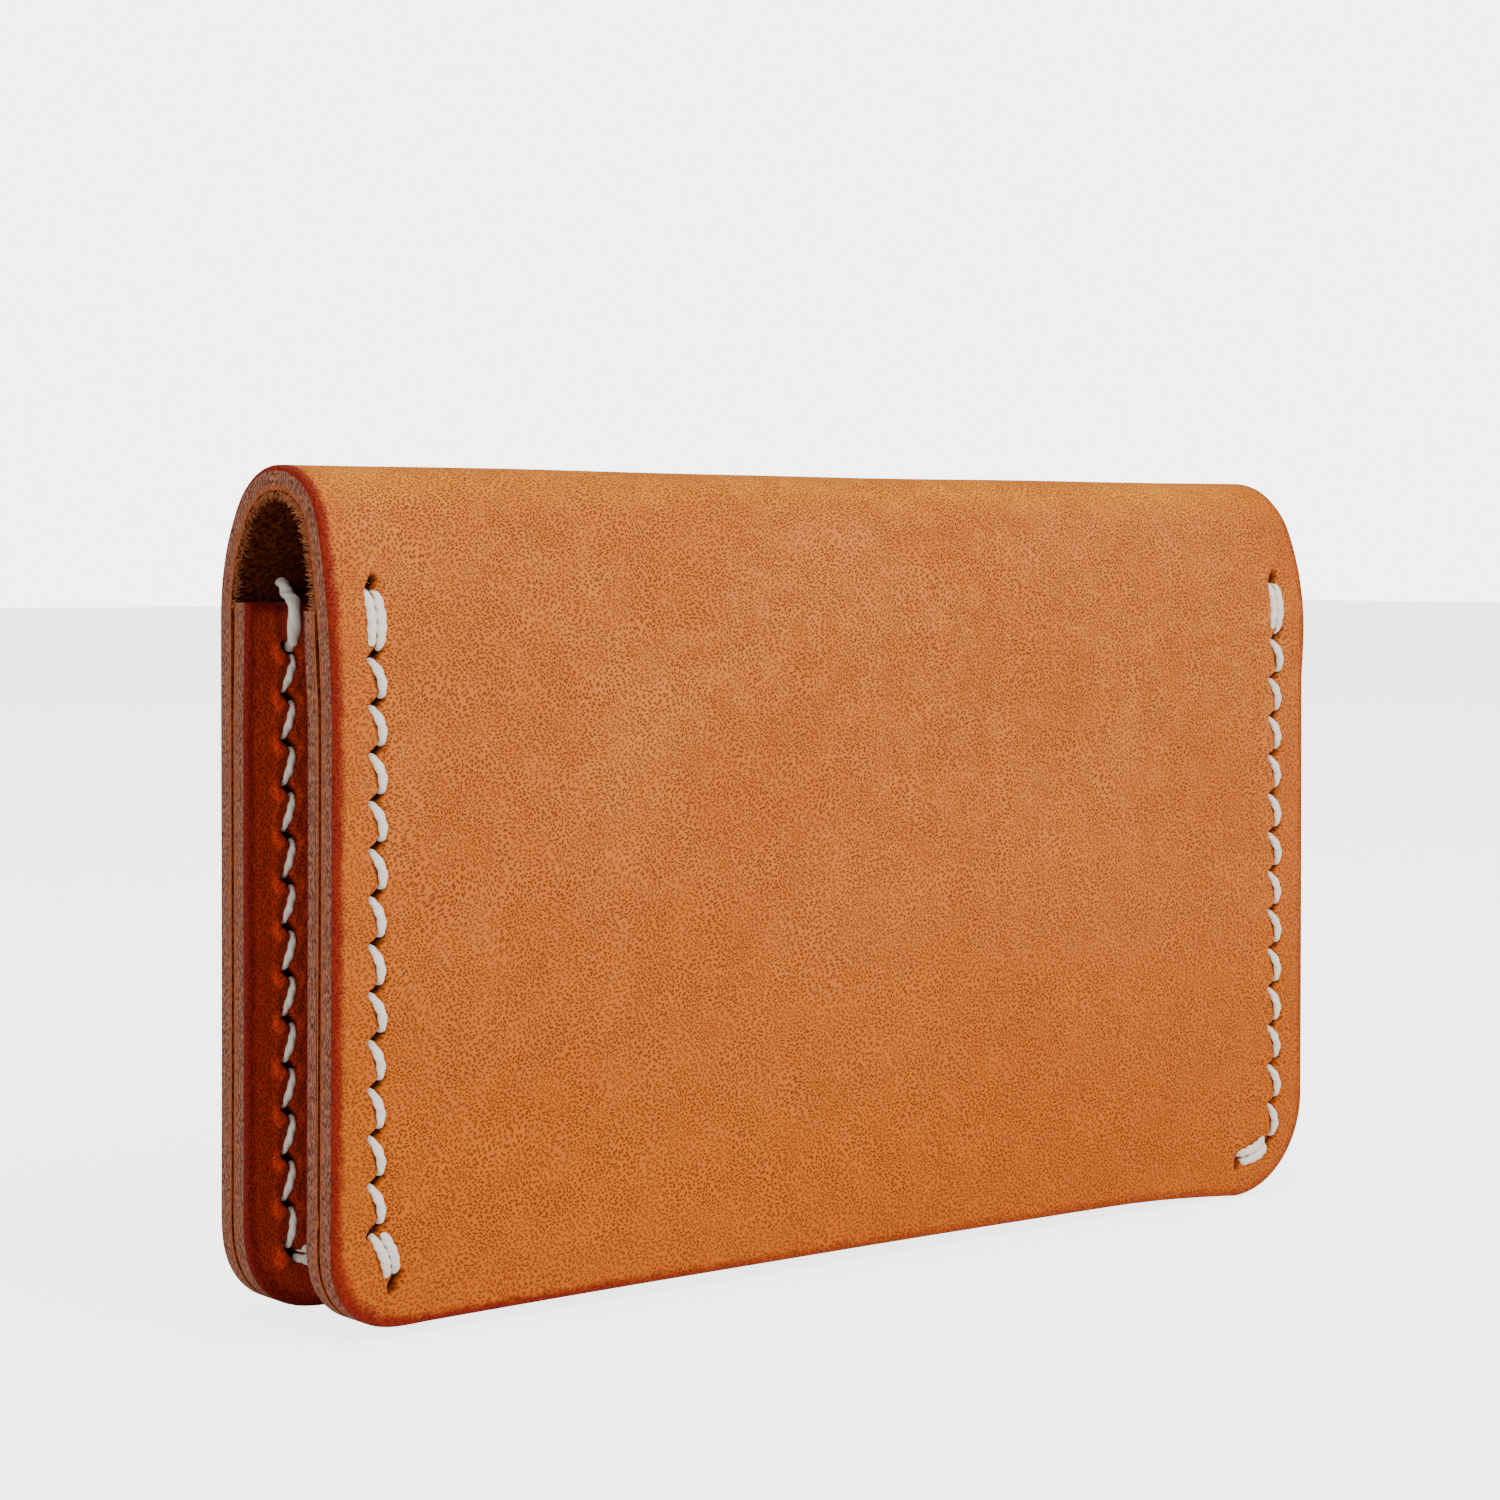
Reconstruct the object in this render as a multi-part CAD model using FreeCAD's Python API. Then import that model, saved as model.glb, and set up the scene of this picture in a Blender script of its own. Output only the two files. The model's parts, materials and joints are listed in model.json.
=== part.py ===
"""Bifold card wallet in thick vegetable-tanned leather, folded over its top edge and standing on its open edges.

Millimetres. X runs along the fold, Y through the thickness with the front half at -Y, and Z is up.
The origin is the centre of the footprint. Each sub-part goes to parts/NODE.step.

The cover is one piece of leather. Its two halves stay flat, and the band over the fold bends, so the band is
cut here into narrow strips. Neighbouring strips turn about a line on the grain side, because the grain of the
leather keeps its length while the flesh side closes up and opens out.
"""

import math
import os

import FreeCAD
import Part

# Overall sizes
width = 112.5
height = 70.5
closed_depth = 18.1

# Leather
cover_thickness = 2.3
pocket_thickness = 2.3
corner_radius = 9.5
edge_round = 0.45

# The fold, on the grain side
crown_radius = 7.5
shoulder_radius = 16.0
hinge_lines = 4
strip_gap = 0.1

# The pocket mouth, measured down from the crown of the fold
mouth_drop = 11.3

# Seams: holes on a line parallel to each short edge
stitch_inset = 4.1
stitch_pitch = 3.85
mouth_reach = 1.7
mouth_bite = 4.05
steep_tail_room = 8.5
flat_tail_room = 4.9
steep_tail = (1.9, -4.2)
flat_tail = (4.6, -1.7)
flat_tail_pull = 0.6

# Thread and its slits
thread_width = 0.8
thread_thickness = 0.5
thread_spacing = 0.85
thread_sink = 0.05
recess_clearance = 0.12
slit_slant = 45.0
slit_length = 1.5
slit_width = 0.75
post_clearance = 0.15
stitch_offset = 0.32

# Worked out from the sizes above
half_depth = closed_depth / 2
crown_height = height - crown_radius
shoulder_angle = math.degrees(math.acos((shoulder_radius - half_depth) / (shoulder_radius - crown_radius)))
spring_height = crown_height - (shoulder_radius - crown_radius) * math.sin(math.radians(shoulder_angle))
mouth_height = height - mouth_drop
top_hole_height = mouth_height + mouth_reach
first_seam_hole_height = mouth_height - mouth_bite
recess_depth = thread_thickness + thread_sink
double_width = thread_width + thread_spacing
BACK = 1
FRONT = -1
LEFT = -1
RIGHT = 1


def vector(x, y, z):
    return FreeCAD.Vector(x, y, z)


def fold_point(angle, depth=0.0):
    """(y, z) on the fold, depth below the grain. The angle is 0 where the back half ends and 180 where the front half does."""
    turn = math.radians(angle)
    if angle <= shoulder_angle:
        centre_y, centre_z, radius = half_depth - shoulder_radius, spring_height, shoulder_radius
    elif angle < 180 - shoulder_angle:
        centre_y, centre_z, radius = 0.0, crown_height, crown_radius
    else:
        centre_y, centre_z, radius = shoulder_radius - half_depth, spring_height, shoulder_radius
    return (
        centre_y + (radius - depth) * math.cos(turn),
        centre_z + (radius - depth) * math.sin(turn),
    )


def angle_at_height(z):
    """The fold angle on the back side at which the grain reaches a height."""
    if z <= spring_height:
        return 0.0
    on_shoulder = (z - spring_height) / shoulder_radius
    if on_shoulder <= math.sin(math.radians(shoulder_angle)):
        return math.degrees(math.asin(on_shoulder))
    return math.degrees(math.asin((z - crown_height) / crown_radius))


def grain_at_height(z):
    """How far from the middle plane the grain of either half is at a height."""
    return fold_point(angle_at_height(z))[0]


def hinge_angles():
    """The fold angles of the lines on which the band bends, each in the middle of its share of the half turn."""
    share = 180 / hinge_lines
    return [share * (index + 0.5) for index in range(hinge_lines)]


def fold_arcs(start, end, depth):
    """Edges along the fold from one angle to another, split where the radius changes."""
    breaks = [a for a in (shoulder_angle, 180 - shoulder_angle) if start < a < end]
    stops = [start, *breaks, end]
    edges = []
    for low, high in zip(stops, stops[1:]):
        # Angles just inside the span keep both ends on the same arc.
        inset = (high - low) * 1e-9
        points = [
            vector(0, *fold_point(angle, depth))
            for angle in (low + inset, (low + high) / 2, high - inset)
        ]
        edges.append(Part.Arc(*points).toShape())
    return edges


def prism(edges, length):
    """A solid with a closed outline at x = 0, spread evenly to both sides of the middle."""
    wire = Part.Wire(Part.__sortEdges__(edges))
    face = Part.Face(wire)
    solid = face.extrude(vector(length, 0, 0))
    solid.translate(vector(-length / 2, 0, 0))
    return solid


def panel_outline():
    """A slab with a half's front-view outline: square above, round at the two lower corners."""
    half = width / 2
    r = corner_radius
    diagonal = r * math.sqrt(0.5)
    top = height
    points = {
        "top_left": vector(-half, 0, top),
        "left": vector(-half, 0, r),
        "left_mid": vector(-half + r - diagonal, 0, r - diagonal),
        "bottom_left": vector(-half + r, 0, 0),
        "bottom_right": vector(half - r, 0, 0),
        "right_mid": vector(half - r + diagonal, 0, r - diagonal),
        "right": vector(half, 0, r),
        "top_right": vector(half, 0, top),
    }
    wire = Part.Wire([
        Part.LineSegment(points["top_left"], points["left"]).toShape(),
        Part.Arc(points["left"], points["left_mid"], points["bottom_left"]).toShape(),
        Part.LineSegment(points["bottom_left"], points["bottom_right"]).toShape(),
        Part.Arc(points["bottom_right"], points["right_mid"], points["right"]).toShape(),
        Part.LineSegment(points["right"], points["top_right"]).toShape(),
        Part.LineSegment(points["top_right"], points["top_left"]).toShape(),
    ])
    slab = Part.Face(wire).extrude(vector(0, 2 * closed_depth, 0))
    slab.translate(vector(0, -closed_depth, 0))
    return slab


def on_outline(point):
    """Whether a point is on the side edges, the lower corners or the bottom edge."""
    near = 1e-4
    x = abs(point.x)
    if x > width / 2 - corner_radius and point.z < corner_radius:
        reach = math.hypot(x - (width / 2 - corner_radius), corner_radius - point.z)
        return abs(reach - corner_radius) < near
    return abs(x - width / 2) < near or abs(point.z) < near


def rim_rounded(solid, on_grain):
    """The solid with the rim of its grain side rounded, as an edge beveller leaves it."""
    rim = []
    for edge in solid.Edges:
        middle = edge.valueAt((edge.FirstParameter + edge.LastParameter) / 2)
        if on_outline(middle) and on_grain(middle):
            rim.append(edge)
    return solid.makeFillet(edge_round, rim)


def on_cover_grain(point):
    """Whether a point is on the grain side of the cover."""
    if point.z <= spring_height:
        return abs(abs(point.y) - half_depth) < 1e-4
    y = abs(point.y)
    side = math.degrees(math.atan2(point.z - spring_height, y - (half_depth - shoulder_radius)))
    crown = math.degrees(math.atan2(point.z - crown_height, y))
    angle = side if side <= shoulder_angle else crown
    grain_y, grain_z = fold_point(angle)
    return math.hypot(y - grain_y, point.z - grain_z) < 1e-3


def mirrored_to(solid, side):
    """The solid of the back half, or its mirror image for the front half."""
    return solid if side == BACK else solid.mirror(vector(0, 0, 0), vector(0, 1, 0))


def cover_half(outline):
    """The cover's flat half on the back side, up to the first line on which the fold bends."""
    end = hinge_angles()[0]
    inner = half_depth - cover_thickness
    trim = strip_gap / 2
    outer_arcs = fold_arcs(0.0, end, 0.0)
    inner_arcs = fold_arcs(0.0, end, cover_thickness)
    edges = [
        Part.LineSegment(vector(0, half_depth, 0), vector(0, half_depth, spring_height)).toShape(),
        *outer_arcs,
        Part.LineSegment(vector(0, *fold_point(end)), vector(0, *fold_point(end, cover_thickness))).toShape(),
        *inner_arcs,
        Part.LineSegment(vector(0, inner, spring_height), vector(0, inner, 0)).toShape(),
        Part.LineSegment(vector(0, inner, 0), vector(0, half_depth, 0)).toShape(),
    ]
    solid = prism(edges, width).common(outline)
    solid = solid.cut(gap_slab(end, trim))
    return rim_rounded(solid.Solids[0], on_cover_grain)


def gap_slab(angle, half_gap):
    """A thin slab across the fold at an angle, which leaves neighbouring pieces half a gap each."""
    y, z = fold_point(angle, cover_thickness / 2)
    slab = Part.makeBox(width + 2, 3 * cover_thickness, 2 * half_gap)
    slab.translate(vector(-width / 2 - 1, -1.5 * cover_thickness, -half_gap))
    slab.rotate(vector(0, 0, 0), vector(1, 0, 0), angle)
    slab.translate(vector(0, y, z))
    return slab


def fold_strip(start, end):
    """One strip of the cover over the fold, between two of the lines on which it bends."""
    edges = [
        *fold_arcs(start, end, 0.0),
        Part.LineSegment(vector(0, *fold_point(end)), vector(0, *fold_point(end, cover_thickness))).toShape(),
        *fold_arcs(start, end, cover_thickness),
        Part.LineSegment(vector(0, *fold_point(start, cover_thickness)), vector(0, *fold_point(start))).toShape(),
    ]
    solid = prism(edges, width)
    for angle in (start, end):
        solid = solid.cut(gap_slab(angle, strip_gap / 2))
    return rim_rounded(solid.Solids[0], on_cover_grain)


def pocket_panel(outline, cover):
    """The pocket panel of the back half, grain side towards the middle, with its mouth towards the fold."""
    slab = Part.makeBox(width, pocket_thickness, mouth_height)
    face_y = half_depth - cover_thickness - pocket_thickness
    slab.translate(vector(-width / 2, face_y, 0))
    solid = slab.common(outline).cut(cover).Solids[0]
    return rim_rounded(solid, lambda point: abs(point.y - face_y) < 1e-4)


def seam_holes(side, steep):
    """(x, z) of each slit of a seam from the top down, the last one being the tail's."""
    room = steep_tail_room if steep else flat_tail_room
    tail = steep_tail if steep else flat_tail
    count = int((first_seam_hole_height - room) / stitch_pitch)
    line = width / 2 - stitch_inset
    holes = [(line, top_hole_height)]
    for index in range(count + 1):
        holes.append((line, first_seam_hole_height - index * stitch_pitch))
    if not steep:
        x, z = holes[-1]
        holes[-1] = (x - flat_tail_pull, z)
    x, z = holes[-1]
    holes.append((x - tail[0], z + tail[1]))
    return [(side * x, z) for x, z in holes]


def stadium(start, end, wide, low_y, high_y):
    """A bar with round ends between two (x, z) points, from one depth in Y to another."""
    along = vector(end[0] - start[0], 0, end[1] - start[1])
    along.normalize()
    across = vector(-along.z, 0, along.x) * (wide / 2)
    a = vector(start[0], low_y, start[1])
    b = vector(end[0], low_y, end[1])
    cap = along * (wide / 2)
    wire = Part.Wire([
        Part.LineSegment(a + across, b + across).toShape(),
        Part.Arc(b + across, b + cap, b - across).toShape(),
        Part.LineSegment(b - across, a - across).toShape(),
        Part.Arc(a - across, a - cap, a + across).toShape(),
    ])
    return Part.Face(wire).extrude(vector(0, high_y - low_y, 0))


def slit(hole, long, wide, low_y, high_y):
    """A slanted slit, or the post of thread in it, at an (x, z) point."""
    reach = (long - wide) / 2
    slant = math.radians(slit_slant)
    dx, dz = reach * math.cos(slant), reach * math.sin(slant)
    return stadium((hole[0] - dx, hole[1] - dz), (hole[0] + dx, hole[1] + dz), wide, low_y, high_y)


def stitch_ends(upper, lower, lean):
    """The ends of a single stitch, which leans from one end of a slit to the other end of the next."""
    return (
        (upper[0] - lean * stitch_offset, upper[1] - stitch_offset),
        (lower[0] + lean * stitch_offset, lower[1] + stitch_offset),
    )


def spans(holes):
    """(start, end, is double, is at the mouth) of each stitch of a seam."""
    last = len(holes) - 2
    found = []
    for index, (upper, lower) in enumerate(zip(holes, holes[1:])):
        double = index in (0, last)
        start, end = (upper, lower) if double else stitch_ends(upper, lower, 1)
        found.append((start, end, double, index == 0))
    return found


def mouth_sink():
    """How much deeper the grain lies at the top hole than on the flat of the half."""
    return half_depth - grain_at_height(top_hole_height)


def seam_thread(side, steep):
    """The thread of one seam of the back half: stitches on both faces, and a post through each slit."""
    holes = seam_holes(side, steep)
    outer_floor = half_depth - recess_depth
    inner_face = half_depth - cover_thickness - pocket_thickness
    inner_floor = inner_face + recess_depth
    parts = []
    for start, end, double, at_mouth in spans(holes):
        wide = double_width if double else thread_width
        floor = outer_floor - (mouth_sink() if at_mouth else 0.0)
        parts.append(stadium(start, end, wide, floor, floor + thread_thickness))
        if not at_mouth:
            parts.append(stadium(start, end, wide, inner_floor - thread_thickness, inner_floor))
    for hole in holes[1:]:
        floor = outer_floor - (mouth_sink() if hole is holes[1] else 0.0)
        parts.append(post(hole, inner_floor - thread_thickness / 2, floor + thread_thickness / 2))
    parts.append(mouth_wrap(holes[0], holes[1], inner_floor))
    top_floor = outer_floor - mouth_sink()
    parts.append(post(holes[0], wrap_start(holes[0])[0], top_floor + thread_thickness / 2))
    whole = parts[0].multiFuse(parts[1:])
    return whole.removeSplitter()


def post(hole, low_y, high_y):
    """The thread's two passes through a slit, as one post."""
    return slit(hole, slit_length - 2 * post_clearance, slit_width - 2 * post_clearance, low_y, high_y)


def wrap_start(top_hole):
    """(y, z) where the thread leaves the top hole on the flesh side of the cover."""
    flesh = grain_at_height(top_hole[1]) - cover_thickness
    return flesh - thread_thickness - recess_clearance, top_hole[1]


def mouth_wrap(top_hole, first_hole, inner_floor):
    """The doubled thread from the top hole over the pocket's mouth and down its face to the first seam hole."""
    half = thread_thickness / 2
    start_y, start_z = wrap_start(top_hole)
    face_y = inner_floor - half
    over_z = mouth_height + thread_thickness
    path = [(start_y + half, start_z), (face_y, over_z), (face_y, first_hole[1])]
    pieces = []
    for (y0, z0), (y1, z1) in zip(path, path[1:]):
        long = math.hypot(y1 - y0, z1 - z0)
        bar = Part.makeBox(double_width, thread_thickness, long)
        bar.translate(vector(-double_width / 2, -half, 0))
        bar.rotate(vector(0, 0, 0), vector(1, 0, 0), -math.degrees(math.atan2(y1 - y0, z1 - z0)))
        bar.translate(vector(top_hole[0], y0, z0))
        pieces.append(bar)
    for y, z in path:
        end = Part.makeCylinder(half, double_width, vector(top_hole[0] - double_width / 2, y, z), vector(1, 0, 0))
        pieces.append(end)
    return pieces[0].multiFuse(pieces[1:])


def seam_recesses(side, steep):
    """What one seam takes out of the leather of the back half: slits, and beds that the stitches lie in."""
    holes = seam_holes(side, steep)
    outside = half_depth + 1
    outer_floor = half_depth - recess_depth
    inner_face = half_depth - cover_thickness - pocket_thickness
    inner_floor = inner_face + recess_depth
    tools = [slit(hole, slit_length, slit_width, inner_face - 1, outside) for hole in holes]
    for start, end, double, at_mouth in spans(holes):
        wide = (double_width if double else thread_width) + 2 * recess_clearance
        floor = outer_floor - (mouth_sink() if at_mouth else 0.0)
        tools.append(stadium(start, end, wide, floor, outside))
        if not at_mouth:
            tools.append(stadium(start, end, wide, inner_face - 1, inner_floor))
    tools.append(mouth_bed(holes, inner_face, inner_floor))
    return tools


def mouth_bed(holes, inner_face, inner_floor):
    """The bed in the pocket's face, open at its mouth, for the thread that wraps over it."""
    wide = double_width + 2 * recess_clearance
    low = holes[1][1] - wide / 2
    bed = Part.makeBox(wide, inner_floor - inner_face + 1, mouth_height + 1 - low)
    bed.translate(vector(holes[0][0] - wide / 2, inner_face - 1, low))
    return bed


def stitched(solid, tools):
    """The leather piece with the seams' slits and beds cut out of it."""
    return solid.cut(tools).removeSplitter()


def export(name, shape):
    """Writes one node's STEP file and prints what it holds."""
    solids = shape.Solids
    solid = solids[0] if len(solids) == 1 else Part.makeCompound(solids)
    box = solid.BoundBox
    print(f"{name}: {len(solids)} solid, {solid.Volume:.2f} mm3, valid {solid.isValid()}, "
          f"x {box.XMin:.2f} {box.XMax:.2f}, y {box.YMin:.2f} {box.YMax:.2f}, z {box.ZMin:.2f} {box.ZMax:.2f}")
    solid.exportStep(f"parts/{name}.step")


def build_half(name, side, outline):
    """One half: its part of the cover, its pocket panel, and the thread of its two seams."""
    seams = {"left": (LEFT, side == FRONT), "right": (RIGHT, side == BACK)}
    tools = [tool for seam in seams.values() for tool in seam_recesses(*seam)]
    cover = cover_half(outline)
    export(f"cover_{name}", mirrored_to(stitched(cover, tools), side))
    export(f"pocket_{name}", mirrored_to(stitched(pocket_panel(outline, cover), tools), side))
    for where, seam in seams.items():
        export(f"stitching_{name}_{where}", mirrored_to(seam_thread(*seam), side))


def main():
    os.makedirs("parts", exist_ok=True)
    outline = panel_outline()
    build_half("back", BACK, outline)
    build_half("front", FRONT, outline)
    angles = hinge_angles()
    for index, (start, end) in enumerate(zip(angles, angles[1:]), 1):
        export(f"cover_fold_{index}", fold_strip(start, end))
    for index, angle in enumerate(angles, 1):
        y, z = fold_point(angle)
        print(f"hinge {index}: angle {angle:.2f}, y {y:.4f}, z {z:.4f}")
    print(f"mouth {mouth_height:.2f}, spring {spring_height:.2f}, inner face {half_depth - cover_thickness - pocket_thickness:.2f}")


main()
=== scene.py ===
"""A bifold card wallet in thick tan leather: a folded cover, two pocket panels and four hand-sewn seams.

Lengths are in millimetres until a mesh is made, which is in metres like the frame.

A leather piece is drawn flat first, in sheet coordinates. x runs along the fold, and s runs up the sheet from
its bottom edge. A depth below the grain completes a point, and each piece says how its sheet lies in space.
"""

import json
import logging
import math
from dataclasses import dataclass
from enum import Enum, IntEnum
from typing import ClassVar

import bpy
import numpy as np
from mathutils import Matrix, Vector

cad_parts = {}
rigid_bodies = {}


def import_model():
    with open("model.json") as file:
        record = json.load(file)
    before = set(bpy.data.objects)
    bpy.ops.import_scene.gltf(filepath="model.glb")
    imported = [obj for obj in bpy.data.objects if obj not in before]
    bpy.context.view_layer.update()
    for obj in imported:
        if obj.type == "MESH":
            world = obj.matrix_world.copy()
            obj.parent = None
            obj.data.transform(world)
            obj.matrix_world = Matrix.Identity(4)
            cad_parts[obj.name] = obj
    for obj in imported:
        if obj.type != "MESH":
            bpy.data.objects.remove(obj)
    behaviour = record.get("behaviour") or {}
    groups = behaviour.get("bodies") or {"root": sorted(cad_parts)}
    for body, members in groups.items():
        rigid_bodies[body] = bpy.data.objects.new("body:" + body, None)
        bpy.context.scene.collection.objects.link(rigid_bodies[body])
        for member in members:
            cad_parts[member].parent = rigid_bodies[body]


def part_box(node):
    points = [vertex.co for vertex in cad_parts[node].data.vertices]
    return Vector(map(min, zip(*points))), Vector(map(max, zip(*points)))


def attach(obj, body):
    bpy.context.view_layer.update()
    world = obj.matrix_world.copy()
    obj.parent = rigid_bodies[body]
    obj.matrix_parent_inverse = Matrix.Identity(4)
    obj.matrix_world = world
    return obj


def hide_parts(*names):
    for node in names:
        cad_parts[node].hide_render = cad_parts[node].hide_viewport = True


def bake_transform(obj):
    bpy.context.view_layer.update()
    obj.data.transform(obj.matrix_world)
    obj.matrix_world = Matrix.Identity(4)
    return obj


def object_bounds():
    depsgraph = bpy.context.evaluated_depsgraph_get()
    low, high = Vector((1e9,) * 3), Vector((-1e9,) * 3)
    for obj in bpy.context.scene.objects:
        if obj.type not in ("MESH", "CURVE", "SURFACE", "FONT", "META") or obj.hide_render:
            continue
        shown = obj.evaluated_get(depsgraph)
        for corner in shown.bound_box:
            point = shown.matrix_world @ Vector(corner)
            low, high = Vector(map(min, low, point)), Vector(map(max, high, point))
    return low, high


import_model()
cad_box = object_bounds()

MM = 0.001
KEY_STEP = 1e5
KEY_ROOM = 10**9
FIRST_SEED = 3
LOG = logging.getLogger("wallet")

Pair = tuple[float, float]
Colour = tuple[float, float, float]
Point = tuple[float, float, float]
Places = tuple[np.ndarray, np.ndarray]


class Half(Enum):
    """A half of the wallet, by the side of the middle plane it is on."""

    BACK = 1
    FRONT = -1


class End(Enum):
    """A short end of the wallet, seen from the front."""

    LEFT = -1
    RIGHT = 1


class Skin(IntEnum):
    """Which finish a face of a leather piece takes."""

    GRAIN = 0
    CUT = 1
    FLESH = 2


class Stitch(IntEnum):
    """The shapes that a stitch can have."""

    SINGLE = 0
    DOUBLE = 1
    WRAP = 2
    REVERSE = 3


@dataclass(frozen=True)
class Sizes:
    """The wallet's sizes, read from the frame where it has them.

    Args:
        half_width: Half of the length along the fold.
        half_depth: From the middle plane to the grain of either half.
        height: From the standing edges to the top of the fold.
        pocket_face: From the middle plane to a pocket's grain.
        pocket_back: From the middle plane to a pocket's flesh side, where it meets the cover.
        mouth: The height of the pockets' mouths.
        corner: The radius of the bottom corners.
        crown: The radius of the fold's top.
        back_shoulder: The larger radius between the crown and the back half.
        front_shoulder: The same for the front half, which leans in over a longer stretch.
    """

    half_width: float
    half_depth: float
    height: float
    pocket_face: float
    pocket_back: float
    mouth: float
    corner: float = 9.5
    crown: float = 7.5
    back_shoulder: float = 16.0
    front_shoulder: float = 32.0

    @classmethod
    def from_frame(cls) -> "Sizes":
        """Reads the sizes that the frame's boxes give.

        Returns:
            The wallet's sizes.
        """
        low, high = cad_box
        pocket_low, pocket_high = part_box("pocket_back")
        return cls(
            half_width=high[0] / MM,
            half_depth=high[1] / MM,
            height=high[2] / MM,
            pocket_face=pocket_low[1] / MM,
            pocket_back=pocket_high[1] / MM,
            mouth=pocket_high[2] / MM,
        )

    @property
    def cover_thickness(self) -> float:
        """How thick the cover is."""
        return self.half_depth - self.pocket_back

    @property
    def pocket_thickness(self) -> float:
        """How thick a pocket panel is."""
        return self.pocket_back - self.pocket_face


# ---------------------------------------------------------------- how the leather lies


class FoldPath:
    """The grain line of the cover, from the back half's bottom edge over the fold to the front half's."""

    # How much fuller the front shoulder is at the right end than in the middle, where on its half the
    # fullness begins, and how far it runs.
    fullness = 0.42
    full_from = 51.0
    full_run = 18.0

    def __init__(self, sizes: Sizes) -> None:
        """Works out where each straight and each arc begins.

        Args:
            sizes: The wallet's sizes.
        """
        self.sizes = sizes
        self.crown_height = sizes.height - sizes.crown
        self.back_turn, self.back_spring = self._shoulder(sizes.back_shoulder)
        self.front_turn, self.front_spring = self._shoulder(sizes.front_shoulder)
        lengths = (
            self.back_spring,
            sizes.back_shoulder * self.back_turn,
            sizes.crown * (math.pi - self.back_turn - self.front_turn),
            sizes.front_shoulder * self.front_turn,
            self.front_spring,
        )
        self.stops = np.concatenate([[0.0], np.cumsum(lengths)])
        self.turns = np.array([0.0, 0.0, self.back_turn, math.pi - self.front_turn, math.pi, math.pi])

    def _shoulder(self, radius: float) -> Pair:
        """Fits a shoulder between a flat half and the crown.

        Args:
            radius: The shoulder's radius.

        Returns:
            How far it turns, and the height at which it begins.
        """
        sizes = self.sizes
        turn = math.acos((radius - sizes.half_depth) / (radius - sizes.crown))
        return turn, self.crown_height - (radius - sizes.crown) * math.sin(turn)

    @property
    def length(self) -> float:
        """The whole length of the cover's grain line."""
        return float(self.stops[-1])

    def turn(self, s: np.ndarray) -> np.ndarray:
        """How far the grain has turned at s: 0 on the back half and pi on the front half."""
        return np.interp(s, self.stops, self.turns)

    def at_turn(self, turn: float) -> float:
        """Where along the line the grain has turned so far."""
        return float(np.interp(turn, self.turns[1:5], self.stops[1:5]))

    def place(self, s: np.ndarray, depth: np.ndarray) -> Places:
        """Finds points below the grain line.

        Args:
            s: Lengths along the line.
            depth: Depths below the grain, negative above it.

        Returns:
            The y and z of each point.
        """
        sizes = self.sizes
        turn = self.turn(s)
        on = np.clip(np.searchsorted(self.stops, s, side="right") - 1, 0, 4)
        back, crown, front = sizes.back_shoulder, sizes.crown, sizes.front_shoulder
        centre_y = np.choose(
            on, [sizes.half_depth, sizes.half_depth - back, 0.0, front - sizes.half_depth, -sizes.half_depth]
        )
        centre_z = np.choose(on, [s, self.back_spring, self.crown_height, self.front_spring, self.length - s])
        radius = np.choose(on, [0.0, back, crown, front, 0.0])
        return centre_y + (radius - depth) * np.cos(turn), centre_z + (radius - depth) * np.sin(turn)

    def outward(self, x: np.ndarray, s: np.ndarray) -> np.ndarray:
        """How far the cover stands out from its line. Its front shoulder is fuller at the right end."""
        share = np.clip((self.length - s - self.full_from) / self.full_run, 0.0, 1.0)
        return waviness(x, s) + self.fullness * np.sin(math.pi * share) * x / self.sizes.half_width


BROAD_WAVE = 0.10
NARROW_WAVE = 0.035


def ease(value: np.ndarray) -> np.ndarray:
    """A smooth step from 0 to 1 as the value goes from 0 to 1."""
    t = np.clip(value, 0.0, 1.0)
    return t * t * (3 - 2 * t)


def waviness(x: np.ndarray, s: np.ndarray) -> np.ndarray:
    """The slow unevenness of hand-cut leather.

    Args:
        x: Places along the fold.
        s: Places up the sheet.

    Returns:
        How far each place stands out from a true surface.
    """
    broad = BROAD_WAVE * np.sin(x / 17.0 + 1.1) * np.sin(s / 21.0 + 0.4)
    narrow = NARROW_WAVE * np.sin(x / 6.1 + 0.7) * np.cos(s / 9.3 + x / 23.0)
    return broad + narrow


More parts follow.
